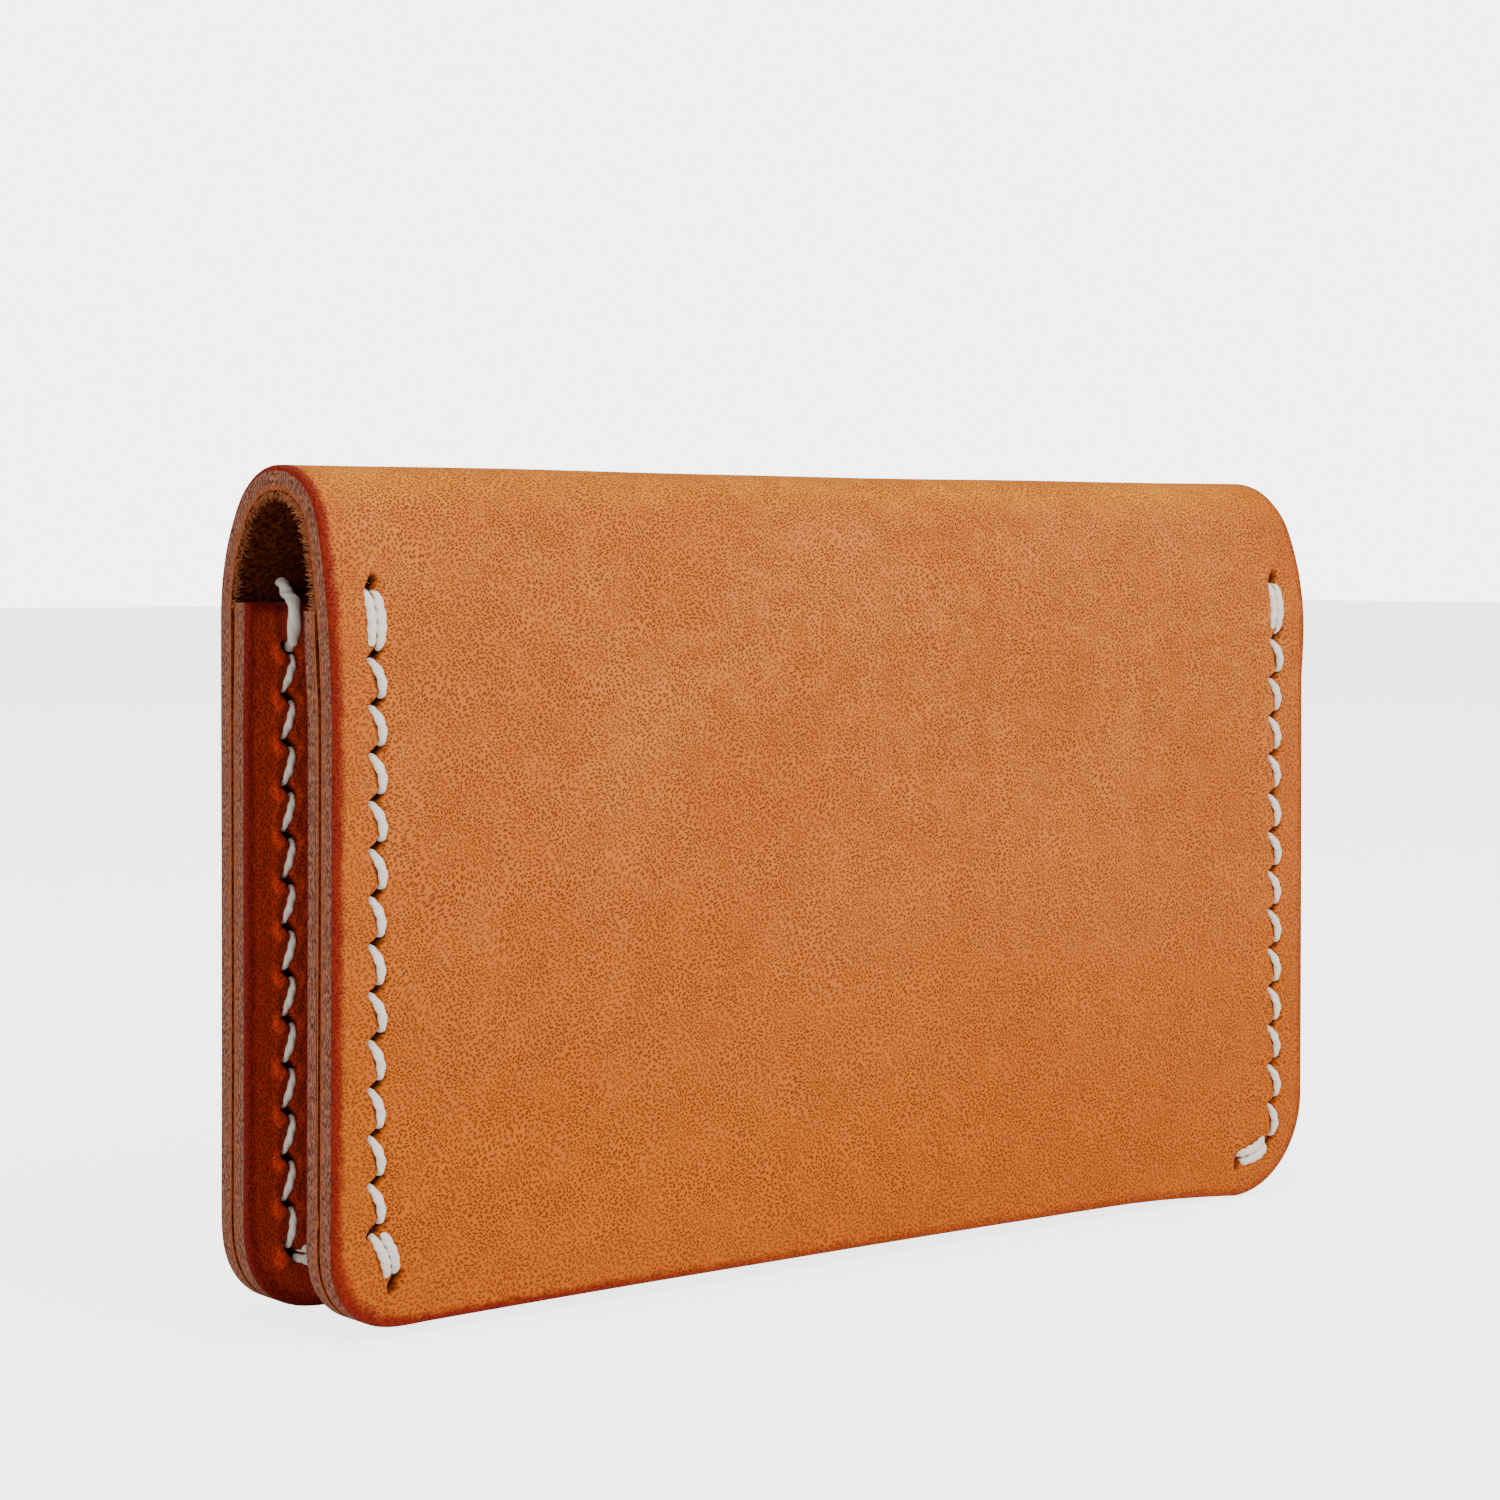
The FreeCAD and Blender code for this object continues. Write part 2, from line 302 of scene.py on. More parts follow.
@dataclass(frozen=True)
class HandCut:
    """How a half's standing edge strays from straight, as it was cut by hand.

    Args:
        rise: How high the edge is above the floor where it doesn't touch it.
        low_side: The sign of x at the corner that stands on the floor.
        run: How far in from that corner's arc the edge begins to drop.
        mouth_drop: How much lower this half's pocket mouth is than the other's.
        square: How far the left corner reaches out beyond its arc.
        sag: How much lower the edge is at sag_at than in the middle.
        flare: How far the left end stands out beyond the right one.
        sag_at: How far from the middle the sag is measured.
        fade: The height above which the sheet no longer follows the edge.
    """

    rise: float
    low_side: int
    run: float
    mouth_drop: float
    square: float
    sag: float
    flare: float
    sag_at: float = 50.0
    fade: float = 55.0

    def edge(self, x: np.ndarray, corner_start: float) -> np.ndarray:
        """The height of the standing edge along its length."""
        share = np.clip((self.low_side * x - corner_start + self.run) / self.run, 0.0, 1.0)
        return (self.rise - self.sag * (x / self.sag_at) ** 2) * (1 - share**2)

    def height(self, x: np.ndarray, s: np.ndarray, corner_start: float) -> np.ndarray:
        """How high a place on the sheet stands above the floor."""
        return s + self.edge(x, corner_start) * np.clip(1 - s / self.fade, 0.0, 1.0)

    def sheet_place(self, x: float, height: float, corner_start: float) -> float:
        """The place on the sheet that is at a height."""
        edge = float(self.edge(np.array([x]), corner_start)[0])
        return height if height > self.fade else (height - edge) / (1 - edge / self.fade)

    def squared(self, x: np.ndarray, s: np.ndarray, half_width: float, corner: float) -> Places:
        """Pushes the sheet out towards the tip of its left corner, which was cut tighter than the right one.

        Args:
            x: Places along the fold.
            s: Places up from the standing edge.
            half_width: Half of the sheet's width.
            corner: The radius of the corner's arc.

        Returns:
            The new x and s.
        """
        out = -x - (half_width - corner)
        down = corner - s
        radius = np.hypot(np.maximum(out, 0.0), np.maximum(down, 0.0))
        angle = np.arctan2(np.maximum(down, 0.0), np.maximum(out, 1e-9))
        push = self.square * np.clip(radius / corner, 0.0, 1.0) ** 4 * np.sin(2 * angle) ** 2
        outwards = push * np.cos(angle) + self.flare * ease((-x - 0.5 * half_width) / (0.5 * half_width))
        return x - outwards, s - push * np.sin(angle)


HAND_CUT = {
    Half.FRONT: HandCut(
        rise=1.05, low_side=1, run=17.0, mouth_drop=0.6, square=1.5, sag=0.3, flare=0.0,
    ),
    Half.BACK: HandCut(
        rise=1.05, low_side=-1, run=19.0, mouth_drop=0.0, square=1.2, sag=0.1, flare=0.35,
    ),
}


class Sheet:
    """A leather piece's flat shape, and how it lies in space."""

    rim_round = 0.5
    flesh_round = 0.2

    def __init__(self, sizes: Sizes, length: float, thickness: float) -> None:
        """Keeps the sheet's sizes.

        Args:
            sizes: The wallet's sizes.
            length: The sheet's length up from its bottom edge.
            thickness: How thick the leather is.
        """
        self.sizes = sizes
        self.length = length
        self.thickness = thickness

    @property
    def top_corner(self) -> float:
        """The radius of the two corners at the far end of the sheet."""
        return 0.0

    def rim_distance(self, x: np.ndarray, s: np.ndarray) -> np.ndarray:
        """How far points are in from the sheet's outline.

        Args:
            x: Places along the fold.
            s: Places up the sheet.

        Returns:
            The distance of each from the outline.
        """
        corner = self.sizes.corner
        side = self.sizes.half_width - np.abs(x)
        end = np.minimum(s, self.length - s) if self.top_corner else s
        inside = np.minimum(side, np.minimum(s, self.length - s))
        in_corner = (side < corner) & (end < corner)
        rounded = corner - np.hypot(corner - side, corner - end)
        return np.maximum(np.where(in_corner, np.minimum(rounded, self.length - s), inside), 0.0)

    def rounding(self, rim: np.ndarray, radius: float) -> np.ndarray:
        """How far a rounded rim drops below its face, by the distance from the outline."""
        reach = np.clip(radius - rim, 0.0, radius)
        return radius - np.sqrt(radius**2 - reach**2)

    def relief(self, x: np.ndarray, s: np.ndarray) -> Places:
        """The seams' dents in the grain, and the painted shade inside the slits."""
        return np.zeros_like(x), np.zeros_like(x)

    def as_cut(self, half: Half, x: np.ndarray, s: np.ndarray) -> Places:
        """Where places on a half are once its uneven outline is allowed for.

        Args:
            half: The half they are on.
            x: Places along the fold.
            s: Places up the half, as if it were cut true.

        Returns:
            The new x, and the height above the floor.
        """
        cut, sizes = HAND_CUT[half], self.sizes
        x, s = cut.squared(x, s, sizes.half_width, sizes.corner)
        return x, cut.height(x, s, sizes.half_width - sizes.corner)

    def place(self, x: np.ndarray, s: np.ndarray, depth: np.ndarray) -> np.ndarray:
        """Where points of the sheet are, in millimetres."""
        raise NotImplementedError


class CoverSheet(Sheet):
    """The cover, with both halves and the fold between them."""

    def __init__(self, sizes: Sizes, path: FoldPath, seams: list["Seam"]) -> None:
        """Keeps the fold's line and the cover's seams.

        Args:
            sizes: The wallet's sizes.
            path: The line of the cover's grain.
            seams: The four seams.
        """
        super().__init__(sizes, path.length, sizes.cover_thickness)
        self.path = path
        self.seams = seams

    @property
    def top_corner(self) -> float:
        """The front half's bottom corners are as round as the back half's."""
        return self.sizes.corner

    def relief(self, x: np.ndarray, s: np.ndarray) -> Places:
        """The dents and slits of both halves' seams.

        Args:
            x: Places along the fold.
            s: Places up the sheet.

        Returns:
            The depth of the dent, and the painted shade of slits and stitch beds, at each place.
        """
        depth, dark = np.zeros_like(x), np.zeros_like(x)
        for seam in self.seams:
            up = s if seam.half is Half.BACK else self.length - s
            dent, slit = seam.relief(x, up, outer=True)
            depth, dark = depth + dent, np.maximum(dark, slit)
        return depth, dark

    def place(self, x: np.ndarray, s: np.ndarray, depth: np.ndarray) -> np.ndarray:
        """Points of the cover, over the fold.

        Args:
            x: Places along the fold.
            s: Places up the sheet.
            depth: Depths below the grain.

        Returns:
            The points, (n, 3), in millimetres.
        """
        back_x, back_s = self.as_cut(Half.BACK, x, s)
        front_x, front_s = self.as_cut(Half.FRONT, x, self.length - s)
        on_back = s < self.length / 2
        x = np.where(on_back, back_x, front_x)
        s = np.where(on_back, back_s, self.length - front_s)
        y, z = self.path.place(s, depth - self.path.outward(x, s))
        return np.column_stack([x, y, z])


class PocketSheet(Sheet):
    """A pocket panel, which lies flat against the inside of its half."""

    # How far the mouth stands off the cover, and the share of the panel over which it does.
    mouth_lift = 0.22
    lifted_share = 0.2

    def __init__(self, sizes: Sizes, half: Half, path: FoldPath, seams: list["Seam"]) -> None:
        """Keeps the half that the panel belongs to, and its seams.

        Args:
            sizes: The wallet's sizes.
            half: The panel's half.
            path: The line of the cover's grain.
            seams: The half's two seams.
        """
        super().__init__(sizes, sizes.mouth - HAND_CUT[half].mouth_drop, sizes.pocket_thickness)
        self.half = half
        self.path = path
        self.seams = seams

    def relief(self, x: np.ndarray, s: np.ndarray) -> Places:
        """The dents and slits of the half's two seams.

        Args:
            x: Places along the fold.
            s: Places up the sheet.

        Returns:
            The depth of the dent, and the painted shade of slits and stitch beds, at each place. It is
            negative on torn flesh.
        """
        depth, dark = np.zeros_like(x), np.zeros_like(x)
        for seam in self.seams:
            dent, slit = seam.relief(x, s, outer=False)
            depth, dark = depth + dent, dark + slit
        return depth, dark

    def place(self, x: np.ndarray, s: np.ndarray, depth: np.ndarray) -> np.ndarray:
        """Points of the panel, which stands off the cover a little at its mouth.

        Args:
            x: Places along the fold.
            s: Places up the sheet.
            depth: Depths below the grain.

        Returns:
            The points, (n, 3), in millimetres.
        """
        x, s = self.as_cut(self.half, x, s)
        along = s if self.half is Half.BACK else self.path.length - s
        lifted = self.lifted_share * self.length
        lift = self.mouth_lift * ease((s - self.length + lifted) / lifted)
        y = self.sizes.pocket_face + depth - lift + self.path.outward(x, along)
        return np.column_stack([x, self.half.value * y, s])


# ---------------------------------------------------------------- seams


def distance_to_line(x: np.ndarray, s: np.ndarray, start: Pair, end: Pair) -> np.ndarray:
    """How far points are from a straight line between two others.

    Args:
        x: Places along the fold.
        s: Places up the sheet.
        start: Where the line starts.
        end: Where it ends.

    Returns:
        The distance of each.
    """
    run, rise = end[0] - start[0], end[1] - start[1]
    share = np.clip(((x - start[0]) * run + (s - start[1]) * rise) / (run**2 + rise**2), 0.0, 1.0)
    return np.hypot(x - start[0] - share * run, s - start[1] - share * rise)


@dataclass(frozen=True)
class Seam:
    """One hand-sewn seam: slanted slits in a line, with a doubled stitch at the mouth and at the tail.

    Args:
        sizes: The wallet's sizes.
        half: The half that the seam is in.
        end: The short end that it runs along.
        inset: From the short end to the line of slits.
        pitch: From one slit to the next.
        mouth_reach: How far above the pocket's mouth the top slit is.
        mouth_bite: How far below the mouth the next slit is.
        steep_tail: From the line's last slit to the tail's slit, inwards and up, where the tail is steep.
        steep_room: How high above the edge the line of slits may end, where the tail is steep.
        flat_tail: The same as steep_tail, where the tail is flat.
        flat_room: The same as steep_room, where the tail is flat.
        flat_pull: How far in the last slit on the line is, where the tail is flat.
        slit_reach: Half of a slit's height.
        end_reach: How many times longer the slits at a doubled stitch are.
        end_tilt: How much of the others' lean the first and last slits have.
        slit_wide: Half of a slit's width, and how far its edge takes to come up to the grain.
        slit_depth: How deep the slits are.
        stitch_offset: From a slit's middle to the end of a single stitch, each way.
        bow: How far a single stitch bows out.
        double_start: From a slit's middle to the end of a doubled stitch.
        single_bed: Half of the width of the bed that a single stitch lies in.
        double_bed: The same for a doubled stitch.
        bed_depth: How deep the beds are, on the cover and on a pocket.
        lip: How far from its bed the leather swells, and half of the swelling's width.
        lip_height: How high it swells, on the cover and on a pocket.
        bed_shade: How much painted shade the beds take beside the slits.
        torn_offset: From a slit's middle to the flesh that the thread has pulled up on a pocket.
        torn_drop: How far below the slit's middle that flesh is.
        torn_reach: Half of its width.
        torn_squeeze: Its width as a share of its height.
        torn_height: How high it stands.
        beside: How far the seam's marks reach from its line.
        above: How far they reach above its top slit.
    """

    sizes: Sizes
    half: Half
    end: End
    inset: float = 4.1
    pitch: float = 3.85
    mouth_reach: float = 1.7
    mouth_bite: float = 4.05
    steep_tail: Pair = (1.9, -4.2)
    steep_room: float = 8.5
    flat_tail: Pair = (4.6, -1.7)
    flat_room: float = 4.9
    flat_pull: float = 0.6
    slit_reach: float = 0.42
    end_reach: float = 1.25
    end_tilt: float = 0.45
    slit_wide: Pair = (0.20, 0.26)
    slit_depth: float = 1.15
    stitch_offset: float = 0.47
    bow: float = 0.20
    double_start: float = 0.5
    single_bed: float = 0.52
    double_bed: float = 0.95
    bed_depth: Pair = (0.24, 0.14)
    lip: Pair = (0.42, 0.3)
    lip_height: Pair = (0.05, 0.09)
    bed_shade: float = 0.22
    torn_offset: float = 0.95
    torn_drop: float = 0.1
    torn_reach: float = 0.72
    torn_squeeze: float = 0.72
    torn_height: float = 0.20
    beside: float = 7.5
    above: float = 3.0

    @property
    def steep(self) -> bool:
        """Whether the tail runs down steeply. The two seams of a half differ, and so do those of an end."""
        return (self.half is Half.BACK) == (self.end is End.RIGHT)

    @property
    def lean(self) -> int:
        """Which way the slits lean: like a slash where they were punched, on the cover's grain."""
        return -self.half.value

    @property
    def name(self) -> str:
        """The seam's half and end, as the frame names them."""
        return f"{self.half.name.lower()}_{self.end.name.lower()}"

    def holes(self) -> list[Pair]:
        """Where the slits are, from the top down.

        Returns:
            The x of each, and its place up the half's sheet.
        """
        line = self.sizes.half_width - self.inset
        first = self.sizes.mouth - self.mouth_bite
        room = self.steep_room if self.steep else self.flat_room
        tail = self.steep_tail if self.steep else self.flat_tail
        found = [(line, self.sizes.mouth + self.mouth_reach)]
        found += [(line, first - index * self.pitch) for index in range(int((first - room) / self.pitch) + 1)]
        if not self.steep:
            found[-1] = (line - self.flat_pull, found[-1][1])
        found.append((found[-1][0] - tail[0], found[-1][1] + tail[1]))
        arc = self.sizes.half_width - self.sizes.corner
        return [
            (self.end.value * x, HAND_CUT[self.half].sheet_place(self.end.value * x, height, arc))
            for x, height in found
        ]

    def stitches(self) -> list[tuple[Pair, Pair, Stitch]]:
        """Where each stitch starts and ends, from the top down.

        Returns:
            The upper and lower end of each, and its shape.
        """
        holes = self.holes()
        last = len(holes) - 2
        found = []
        for index, (upper, lower) in enumerate(zip(holes, holes[1:])):
            if index in (0, last):
                share = self.double_start / math.hypot(upper[0] - lower[0], upper[1] - lower[1])
                run, rise = share * (lower[0] - upper[0]), share * (lower[1] - upper[1])
                start, finish = (upper[0] + run, upper[1] + rise), (lower[0] - run, lower[1] - rise)
                found.append((start, finish, Stitch.DOUBLE))
                continue
            start = (upper[0] - self.lean * self.stitch_offset, upper[1] - self.stitch_offset)
            finish = (lower[0] + self.lean * self.stitch_offset, lower[1] + self.stitch_offset)
            found.append((start, finish, Stitch.SINGLE))
        return found

    def relief(self, x: np.ndarray, s: np.ndarray, outer: bool) -> Places:
        """The dents that the thread pulls into the leather, and its slits.

        Args:
            x: Places along the fold.
            s: Heights above the standing edge.
            outer: Whether this is the cover's grain, and not the pocket's.

        Returns:
            The depth of the dent, and the painted shade of slits and stitch beds, at each point.
        """
        depth, dark = np.zeros_like(x), np.zeros_like(x)
        holes = self.holes()
        near = np.flatnonzero((np.abs(x - holes[1][0]) < self.beside) & (s < holes[0][1] + self.above))
        if near.size == 0:
            return depth, dark
        bed, lip = self._beds(x[near], s[near])
        slit, torn = self._slits(x[near], s[near])
        side = 0 if outer else 1
        pulled = self.bed_depth[side] * bed - self.lip_height[side] * lip
        raised = np.zeros_like(torn) if outer else torn * (1 - slit)
        depth[near] = pulled * (1 - slit) + self.slit_depth * slit - self.torn_height * raised
        # Painted shade in the slits and the stitch beds, less on raised torn flesh.
        dark[near] = np.maximum(slit, self.bed_shade * bed) - raised
        return depth, dark

    def _beds(self, x: np.ndarray, s: np.ndarray) -> Places:
        """Where the stitches press the leather down, and where it swells beside them.

        Args:
            x: Places along the fold.
            s: Heights above the standing edge.

        Returns:
            How much of a bed, and how much of a swelling, is at each point.
        """
        bed, lip = np.zeros_like(x), np.zeros_like(x)
        for upper, lower, kind in self.stitches():
            wide = self.double_bed if kind is Stitch.DOUBLE else self.single_bed
            bowed = ((upper[0] + lower[0]) / 2 + self.lean * self.bow, (upper[1] + lower[1]) / 2)
            away = np.minimum(distance_to_line(x, s, upper, bowed), distance_to_line(x, s, bowed, lower))
            bed = np.maximum(bed, np.exp(-((away / wide) ** 4)))
            lip = np.maximum(lip, np.exp(-(((away - wide - self.lip[0]) / self.lip[1]) ** 2)))
        return bed, lip

    def _slits(self, x: np.ndarray, s: np.ndarray) -> Places:
        """Where the slits are, and where flesh is pulled up beside them.

        Args:
            x: Places along the fold.
            s: Heights above the standing edge.

        Returns:
            How much of a slit, and how much of torn flesh, is at each point.
        """
        slit, torn = np.zeros_like(x), np.zeros_like(x)
        holes = self.holes()
        last = len(holes) - 1
        for index, hole in enumerate(holes):
            reach = self.slit_reach * (self.end_reach if index in (0, 1, last - 1, last) else 1.0)
            tilt = self.lean * (self.end_tilt if index in (0, last) else 1.0)
            low = (hole[0] - tilt * reach, hole[1] - reach)
            high = (hole[0] + tilt * reach, hole[1] + reach)
            away = distance_to_line(x, s, low, high)
            slit = np.maximum(slit, 1 - ease((away - self.slit_wide[0]) / self.slit_wide[1]))
            sideways = x - hole[0] - self.lean * self.torn_offset
            far = np.hypot(sideways, (s - hole[1] + self.torn_drop) * self.torn_squeeze)
            torn = np.maximum(torn, np.exp(-((far / self.torn_reach) ** 4)))
        return slit, torn


# ---------------------------------------------------------------- meshes of the leather pieces


@dataclass
class Shell:
    """A closed mesh in sheet coordinates.

    Args:
        x: Each vertex's place along the fold.
        s: Each vertex's place up the sheet.
        depth: Each vertex's depth below the grain.
        dark: How deep in a slit each vertex is, as painted shade; the stitch beds take some too.
        faces: Four vertices a face, the last repeated in a triangle.
        skins: Each face's finish.
    """

    x: np.ndarray
    s: np.ndarray
    depth: np.ndarray
    dark: np.ndarray
    faces: np.ndarray
    skins: np.ndarray


def spread(start: float, stop: float, step: float) -> np.ndarray:
    """Evenly spaced values from start to stop, both included, no more than a step apart."""
    return np.linspace(start, stop, max(2, math.ceil(abs(stop - start) / step) + 1))


@dataclass(frozen=True)
class Fineness:
    """How finely a leather piece is divided.

    Args:
        seam: The step in the band that the seams run in.
        field: The step in the plain middle.
        corner: How many steps go round a bottom corner.
        rings: How many steps go through the thickness at the cut edge.
        mouth_band: How much of the rim's fine steps a pocket's mouth has.
        closest: The least distance between two rows.
    """

    seam: float = 0.17
    field: float = 3.2
    corner: int = 46
    rings: int = 4
    mouth_band: float = 1.3
    closest: float = 0.02

    def grain_levels(self, corner: float) -> np.ndarray:
        """Distances from the outline at which the grain side has a line of vertices."""
        rim = [0.0, 0.03, 0.09, 0.18, 0.30, 0.50, 0.70, 0.95, 1.25]
        return np.concatenate([rim, spread(1.5, 5.65, self.seam), [6.0, 6.5, 7.2, 8.2, corner]])

    def flesh_levels(self, corner: float) -> np.ndarray:
        """The same for the flesh side, which has no seams to show."""
        return np.array([0.0, 0.05, 0.12, 0.2, 0.6, 2.0, corner])

    def columns(self, inner: float) -> np.ndarray:
        """Places across the plain middle, finer where it ends at the bottom corners' centres.

        Args:
            inner: How far from the middle those centres are.

        Returns:
            The places, from left to right.
        """
        half = np.concatenate([
            spread(0.0, inner - 5.0, self.field),
            [inner - 3.4, inner - 2.3],
            spread(inner - 1.6, inner, self.seam),
        ])
        return np.concatenate([-half[:0:-1], half])


class SheetMesher:
    """Turns a sheet into a closed mesh."""

    def __init__(self, sheet: Sheet, rows: np.ndarray, fineness: Fineness) -> None:
        """Keeps what the mesh is made from.

        Args:
            sheet: The leather piece.
            rows: The places up the sheet between its end bands.
            fineness: How finely it is divided.
        """
        self.sheet = sheet
        self.rows = rows
        self.fineness = fineness

    def _quads(self, levels: np.ndarray) -> np.ndarray:
        """Lays faces over the whole outline: a grid in the middle, and a fan in each round corner.

        Args:
            levels: Distances from the outline at which there is a line of vertices.

        Returns:
            The (x, s) of each face's four corners.
        """
        sheet, corner = self.sheet, self.sheet.sizes.corner
        half = sheet.sizes.half_width
        middle = self.fineness.columns(half - corner)
        xs = np.concatenate([levels - half, middle[1:-1], (half - levels)[::-1]])
        top_levels = levels if sheet.top_corner else levels[levels < self.fineness.mouth_band]
        top = (sheet.length - top_levels)[::-1]
        between = (self.rows > levels[-1]) & (self.rows < top[0] - self.fineness.closest)
        ss = np.concatenate([levels, self.rows[between], top])
        quads = self._between(np.stack(np.meshgrid(xs, ss), axis=-1))
        count = len(levels) - 1
        keep = np.ones(quads.shape[:2], bool)
        fans = [(side, end) for end in ((-1, 1) if sheet.top_corner else (-1,)) for side in (-1, 1)]
        first, last = slice(None, count), slice(-count, None)
        for side, end in fans:
            keep[first if end < 0 else last, first if side < 0 else last] = False
        parts = [quads[keep]]
        angles = np.linspace(0.0, math.pi / 2, self.fineness.corner + 1)
        for side, end in fans:
            radius = (corner - levels)[:, None]
            centre_s = corner if end < 0 else sheet.length - corner
            fan = np.stack([
                side * (half - corner) + side * radius * np.cos(angles),
                centre_s + end * radius * np.sin(angles),
            ], axis=-1)
            parts.append(self._between(fan).reshape(-1, 4, 2))
        return np.concatenate(parts)

    @staticmethod
    def _between(grid: np.ndarray) -> np.ndarray:
        """The faces between a grid's points, as the four corners of each."""
        return np.stack([grid[:-1, :-1], grid[:-1, 1:], grid[1:, 1:], grid[1:, :-1]], axis=2)

    @staticmethod
    def _joined(quads: np.ndarray) -> tuple[np.ndarray, np.ndarray, np.ndarray]:
        """Merges corners that coincide.

        Args:
            quads: The (x, s) of each face's four corners.

        Returns:
            The points, each point's key, and the faces as indices, all turned the same way.
        """
        across, up = quads[..., 0], quads[..., 1]
        area = np.sum(across * np.roll(up, -1, axis=1) - np.roll(across, -1, axis=1) * up, axis=1)
        quads = np.where((area < 0)[:, None, None], quads[:, ::-1], quads)
        flat = quads.reshape(-1, 2)
        rounded = np.round(flat * KEY_STEP).astype(np.int64)
        keys = rounded[:, 0] * KEY_ROOM + rounded[:, 1]
        unique, first, inverse = np.unique(keys, return_index=True, return_inverse=True)
        return flat[first], unique, inverse.reshape(-1, 4)

    @staticmethod
    def _rim_edges(faces: np.ndarray) -> np.ndarray:
        """The edges that only one face has.

        Args:
            faces: Each face's four points.

        Returns:
            Each edge's two points, in its face's direction.
        """
        edges = np.concatenate([faces[:, [0, 1]], faces[:, [1, 2]], faces[:, [2, 3]], faces[:, [3, 0]]])
        edges = edges[edges[:, 0] != edges[:, 1]]
        big = int(edges.max()) + 1
        undirected = np.minimum(edges[:, 0], edges[:, 1]) * big + np.maximum(edges[:, 0], edges[:, 1])
        _, first, counts = np.unique(undirected, return_index=True, return_counts=True)
        return edges[first[counts == 1]]

    def build(self) -> Shell:
        """Makes the closed mesh.

        Returns:
            The mesh, in sheet coordinates.
        """
        sheet, corner = self.sheet, self.sheet.sizes.corner
        grain, grain_keys, grain_faces = self._joined(self._quads(self.fineness.grain_levels(corner)))
        flesh, flesh_keys, flesh_faces = self._joined(self._quads(self.fineness.flesh_levels(corner)))
        edges = self._rim_edges(grain_faces)
        rim = np.unique(edges)
        partner = np.searchsorted(flesh_keys, grain_keys[rim]) + len(grain)
        rings = self.fineness.rings
        place = np.zeros(len(grain), np.int64)
        place[rim] = np.arange(len(rim))
        base = len(grain) + len(flesh)
        ladder = [rim] + [base + ring * len(rim) + np.arange(len(rim)) for ring in range(rings)] + [partner]
        walls = []
        for near, far in zip(ladder, ladder[1:]):
            a, b = place[edges[:, 0]], place[edges[:, 1]]
            walls.append(np.column_stack([near[b], near[a], far[a], far[b]]))
        x = np.concatenate([grain[:, 0], flesh[:, 0]] + [grain[rim, 0]] * rings)
        s = np.concatenate([grain[:, 1], flesh[:, 1]] + [grain[rim, 1]] * rings)
        dent, dark = sheet.relief(grain[:, 0], grain[:, 1])
        grain_depth = sheet.rounding(sheet.rim_distance(*grain.T), sheet.rim_round) + dent
        flesh_depth = sheet.thickness - sheet.rounding(sheet.rim_distance(*flesh.T), sheet.flesh_round)
        low, high = sheet.rim_round, sheet.thickness - sheet.flesh_round
        shares = (np.arange(rings) + 1) / (rings + 1)
        wall_depth = [np.full(len(rim), low + share * (high - low)) for share in shares]
        depth = np.concatenate([grain_depth, flesh_depth] + wall_depth)
        faces = np.concatenate([grain_faces, flesh_faces[:, ::-1] + len(grain)] + walls)
        skins = np.concatenate([
            np.full(len(grain_faces), Skin.GRAIN),
            np.full(len(flesh_faces), Skin.FLESH),
            np.full(sum(map(len, walls)), Skin.CUT),
        ])
        dark = np.concatenate([dark, np.zeros(len(x) - len(grain))])
        return Shell(x, s, depth, dark, faces, skins)


def signed_volume(points: np.ndarray, faces: np.ndarray) -> float:
    """The volume inside a closed mesh, negative if its faces point inwards."""
    a, b, c, d = (points[faces[:, index]] for index in range(4))
    return float(np.sum(np.cross(a, b) * c) + np.sum(np.cross(a, c) * d)) / 6


def mesh_from(name: str, points: np.ndarray, faces: np.ndarray, skins: np.ndarray) -> bpy.types.Mesh:
    """Makes a Blender mesh from arrays.

    Args:
        name: The mesh's name.
        points: Each vertex, in metres.
        faces: Four vertices a face. Repeated ones are left out.
        skins: Each face's material slot.

    Returns:
        The mesh, smooth shaded.
    """
    fresh = faces != np.roll(faces, 1, axis=1)
    sizes = fresh.sum(axis=1)
    loops = faces[fresh]
    mesh = bpy.data.meshes.new(name)
    mesh.vertices.add(len(points))
    mesh.vertices.foreach_set("co", points.astype(np.float32).ravel())
    mesh.loops.add(len(loops))
    mesh.loops.foreach_set("vertex_index", loops.astype(np.int32))
    mesh.polygons.add(len(faces))
    starts = np.concatenate([[0], np.cumsum(sizes)[:-1]]).astype(np.int32)
    mesh.polygons.foreach_set("loop_start", starts)
    mesh.polygons.foreach_set("material_index", skins.astype(np.int32))
    mesh.polygons.foreach_set("use_smooth", np.ones(len(faces), bool))
    mesh.update(calc_edges=True)
    mesh.validate()
    return mesh


def add_values(mesh: bpy.types.Mesh, name: str, values: np.ndarray) -> None:
    """Stores a number for each vertex of a mesh.

    Args:
        mesh: The mesh.
        name: The attribute's name.
        values: One number a vertex.
    """
    attribute = mesh.attributes.new(name, "FLOAT", "POINT")
    attribute.data.foreach_set("value", values.astype(np.float32))


def add_places(mesh: bpy.types.Mesh, name: str, places: np.ndarray) -> None:
    """Stores a vector for each vertex of a mesh.

    Args:
        mesh: The mesh.
        name: The attribute's name.
        places: Three numbers a vertex.
    """
    attribute = mesh.attributes.new(name, "FLOAT_VECTOR", "POINT")
    attribute.data.foreach_set("vector", places.astype(np.float32).ravel())


def new_object(name: str, mesh: bpy.types.Mesh) -> bpy.types.Object:
    """Puts a mesh into the scene as an object at the origin.

    Args:
        name: The object's name.
        mesh: The mesh.

    Returns:
        The object.
    """
    made = bpy.data.objects.new(name, mesh)
    bpy.context.scene.collection.objects.link(made)
    return made


